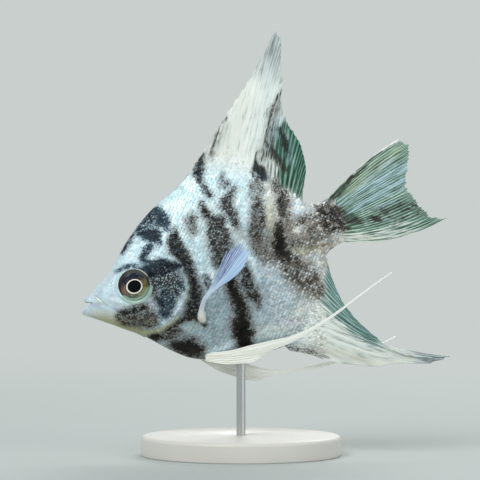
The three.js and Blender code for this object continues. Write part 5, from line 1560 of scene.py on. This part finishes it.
def eye_material():
    """A fish's eye behind a wet cornea: black pupil, narrow cream ring, an iris streaked round it in slate,
    brown and olive, and a pale green fold low down."""
    material, tree = new_material("wet_eye")
    gaze = read(tree, "gaze", "Vector")
    flat = add(tree, "VectorMath", {0: gaze, 1: (1, 1, 0)}, **TIMES)
    radius = add(tree, "VectorMath", {0: flat}, out="Value", operation="LENGTH")
    parts = tree.nodes.new("ShaderNodeSeparateXYZ")
    tree.links.new(gaze, parts.inputs[0])
    across, up = parts.outputs[0], parts.outputs[1]
    swirl = read(tree, "swirl", "Vector")
    swirl = add(tree, "VectorMath", {0: swirl, 1: (2.2, 2.2, 5.0)}, **TIMES)
    arcs = add(tree, "TexNoise", {"Vector": swirl, "Scale": 1.0, "Detail": 5.0, "Roughness": 0.65})
    specks = add(tree, "TexNoise", {"Vector": flat, "Scale": 4.6, "Detail": 3.0, "Roughness": 0.7})
    high = add(tree, "MapRange", {0: up, 1: -0.2, 2: 1.7}, **EASED)
    low = add(tree, "MapRange", {0: up, 1: -0.6, 2: -1.7}, **EASED)
    back = add(tree, "MapRange", {0: across, 1: -2.0, 2: 2.2}, **EASED)
    iris = blend(tree, back, "#7a5f4a", "#6a6030")
    iris = blend(tree, high, iris, "#101a2a")
    iris = blend(tree, low, iris, blend(tree, back, "#4f5a58", "#8f9a66"))
    light = add(tree, "MapRange", {0: arcs, 1: 0.52, 2: 0.64, 3: 0.0, 4: 0.8}, **EASED)
    iris = blend(tree, light, iris, blend(tree, high, "#a39a86", "#55606f"))
    deep = add(tree, "MapRange", {0: arcs, 1: 0.47, 2: 0.38, 3: 0.0, 4: 0.75}, **EASED)
    iris = blend(tree, deep, iris, "#15181c")
    fleck = add(tree, "MapRange", {0: specks, 1: 0.56, 2: 0.68}, **EASED)
    many = add(tree, "MapRange", {0: low, 3: 0.25, 4: 0.75})
    fleck = add(tree, "Math", {0: fleck, 1: many}, **TIMES)
    iris = blend(tree, fleck, iris, "#c4cdc4")
    outer = add(tree, "MapRange", {0: radius, 1: 2.55, 2: 2.85})
    iris = blend(tree, outer, iris, blend(tree, back, "#33302f", "#4a4d49"))
    fold = add(tree, "VectorMath", {0: flat, 1: (0, 0.5, 0)}, out="Value", operation="DISTANCE")
    fold = add(tree, "MapRange", {0: fold, 1: 2.72, 2: 2.9}, **EASED)
    below = add(tree, "MapRange", {0: up, 1: -0.7, 2: -1.3})
    fold = add(tree, "Math", {0: fold, 1: below}, **TIMES)
    iris = blend(tree, fold, iris, "#a9c0b0")
    # The pupil is wider than it is high, and its ring is thinnest above.
    oval = add(tree, "VectorMath", {0: flat, 1: (1, 1.12, 0)}, **TIMES)
    ring = add(tree, "VectorMath", {0: oval}, out="Value", operation="LENGTH")
    rim = add(tree, "MapRange", {0: ring, 1: 1.66, 2: 1.9, 3: 0.75, 4: 0.0})
    iris = blend(tree, rim, iris, "#221f20")
    ring = add(tree, "MapRange", {0: ring, 1: 1.6, 2: 1.68})
    colour = blend(tree, ring, "#f7f0e2", iris)
    pupil = add(tree, "VectorMath", {0: oval, 1: (0.04, 0.06, 0)}, out="Value", operation="DISTANCE")
    pupil = add(tree, "MapRange", {0: pupil, 1: 1.34, 2: 1.42})
    colour = blend(tree, pupil, "#05070c", colour)
    finish_with(tree, add(tree, "BsdfPrincipled", {
        "Base Color": colour, "Roughness": 0.4, "IOR": 1.36, "Specular IOR Level": 0.1, "Coat Weight": 0.14,
        "Coat Roughness": 0.03, "Coat IOR": 1.36}))
    return material


def base_material():
    """Cast acrylic with a satin face: even, slightly warm off-white, with the faintest cloud from casting."""
    material, tree = new_material("satin_cast_acrylic")
    place = add(tree, "TexCoord", out="Object")
    cloud = add(tree, "TexNoise", {"Vector": place, "Scale": 1000 / 9, "Detail": 3.0})
    colour = blend(tree, cloud, "#d2cfc8", "#dedbd5")
    frosting = add(tree, "TexNoise", {"Vector": place, "Scale": 1000 / 0.25, "Detail": 2.0})
    normal = add(tree, "Bump", {"Height": frosting, "Distance": 0.00002, "Strength": 0.3})
    rough = add(tree, "MapRange", {0: frosting, 3: 0.32, 4: 0.45})
    finish_with(tree, add(tree, "BsdfPrincipled",
                          {"Base Color": colour, "Roughness": rough, "IOR": 1.49, "Normal": normal}))
    return material


def rod_material():
    """Stainless steel rod, brushed round its length: fine rings that smear the light along it."""
    material, tree = new_material("brushed_stainless_steel")
    place = add(tree, "TexCoord", out="Object")
    rings = add(tree, "Mapping", {"Vector": place, "Scale": (60.0, 60.0, 1000 / 0.12)})
    lines = add(tree, "TexNoise", {"Vector": rings, "Scale": 1.0, "Detail": 2.0})
    rough = add(tree, "MapRange", {0: lines, 3: 0.22, 4: 0.42})
    colour = blend(tree, lines, "#b3b5b6", "#c9cbcc")
    normal = add(tree, "Bump", {"Height": lines, "Distance": 0.00001, "Strength": 0.3})
    finish_with(tree, add(tree, "BsdfPrincipled",
                          {"Base Color": colour, "Metallic": 1.0, "Roughness": rough, "Normal": normal}))
    return material


# ---- assembly ---------------------------------------------------------------------------------------
set_up_camera()
set_up_floor()
set_up_light()
bpy.context.scene.view_settings.view_transform = "Standard"

make_skin(skin_material("wet_skin", False))
scales_material = skin_material("silver_scales", True)
make_scales(scales_material)
make_fin_scales(scales_material)
make_unpaired_fins({
    "dorsal_fin": fin_material("dorsal_membrane", ("#12382c", "#2c5e50"), ("#a6c8b4", "#6ba08c")),
    "anal_fin": fin_material("anal_membrane", ("#1f463f", "#76a5a1"), ("#dcece4", "#b2d2ce")),
    "tail_fin": fin_material("tail_membrane", ("#1f4433", "#6a9684"), ("#cbe4cd", "#d8efe6")),
})
make_pectoral_fins(pectoral_material())
make_pelvic_fins(pelvic_material())
make_eyes(eye_material())
make_stand(base_material(), rod_material())
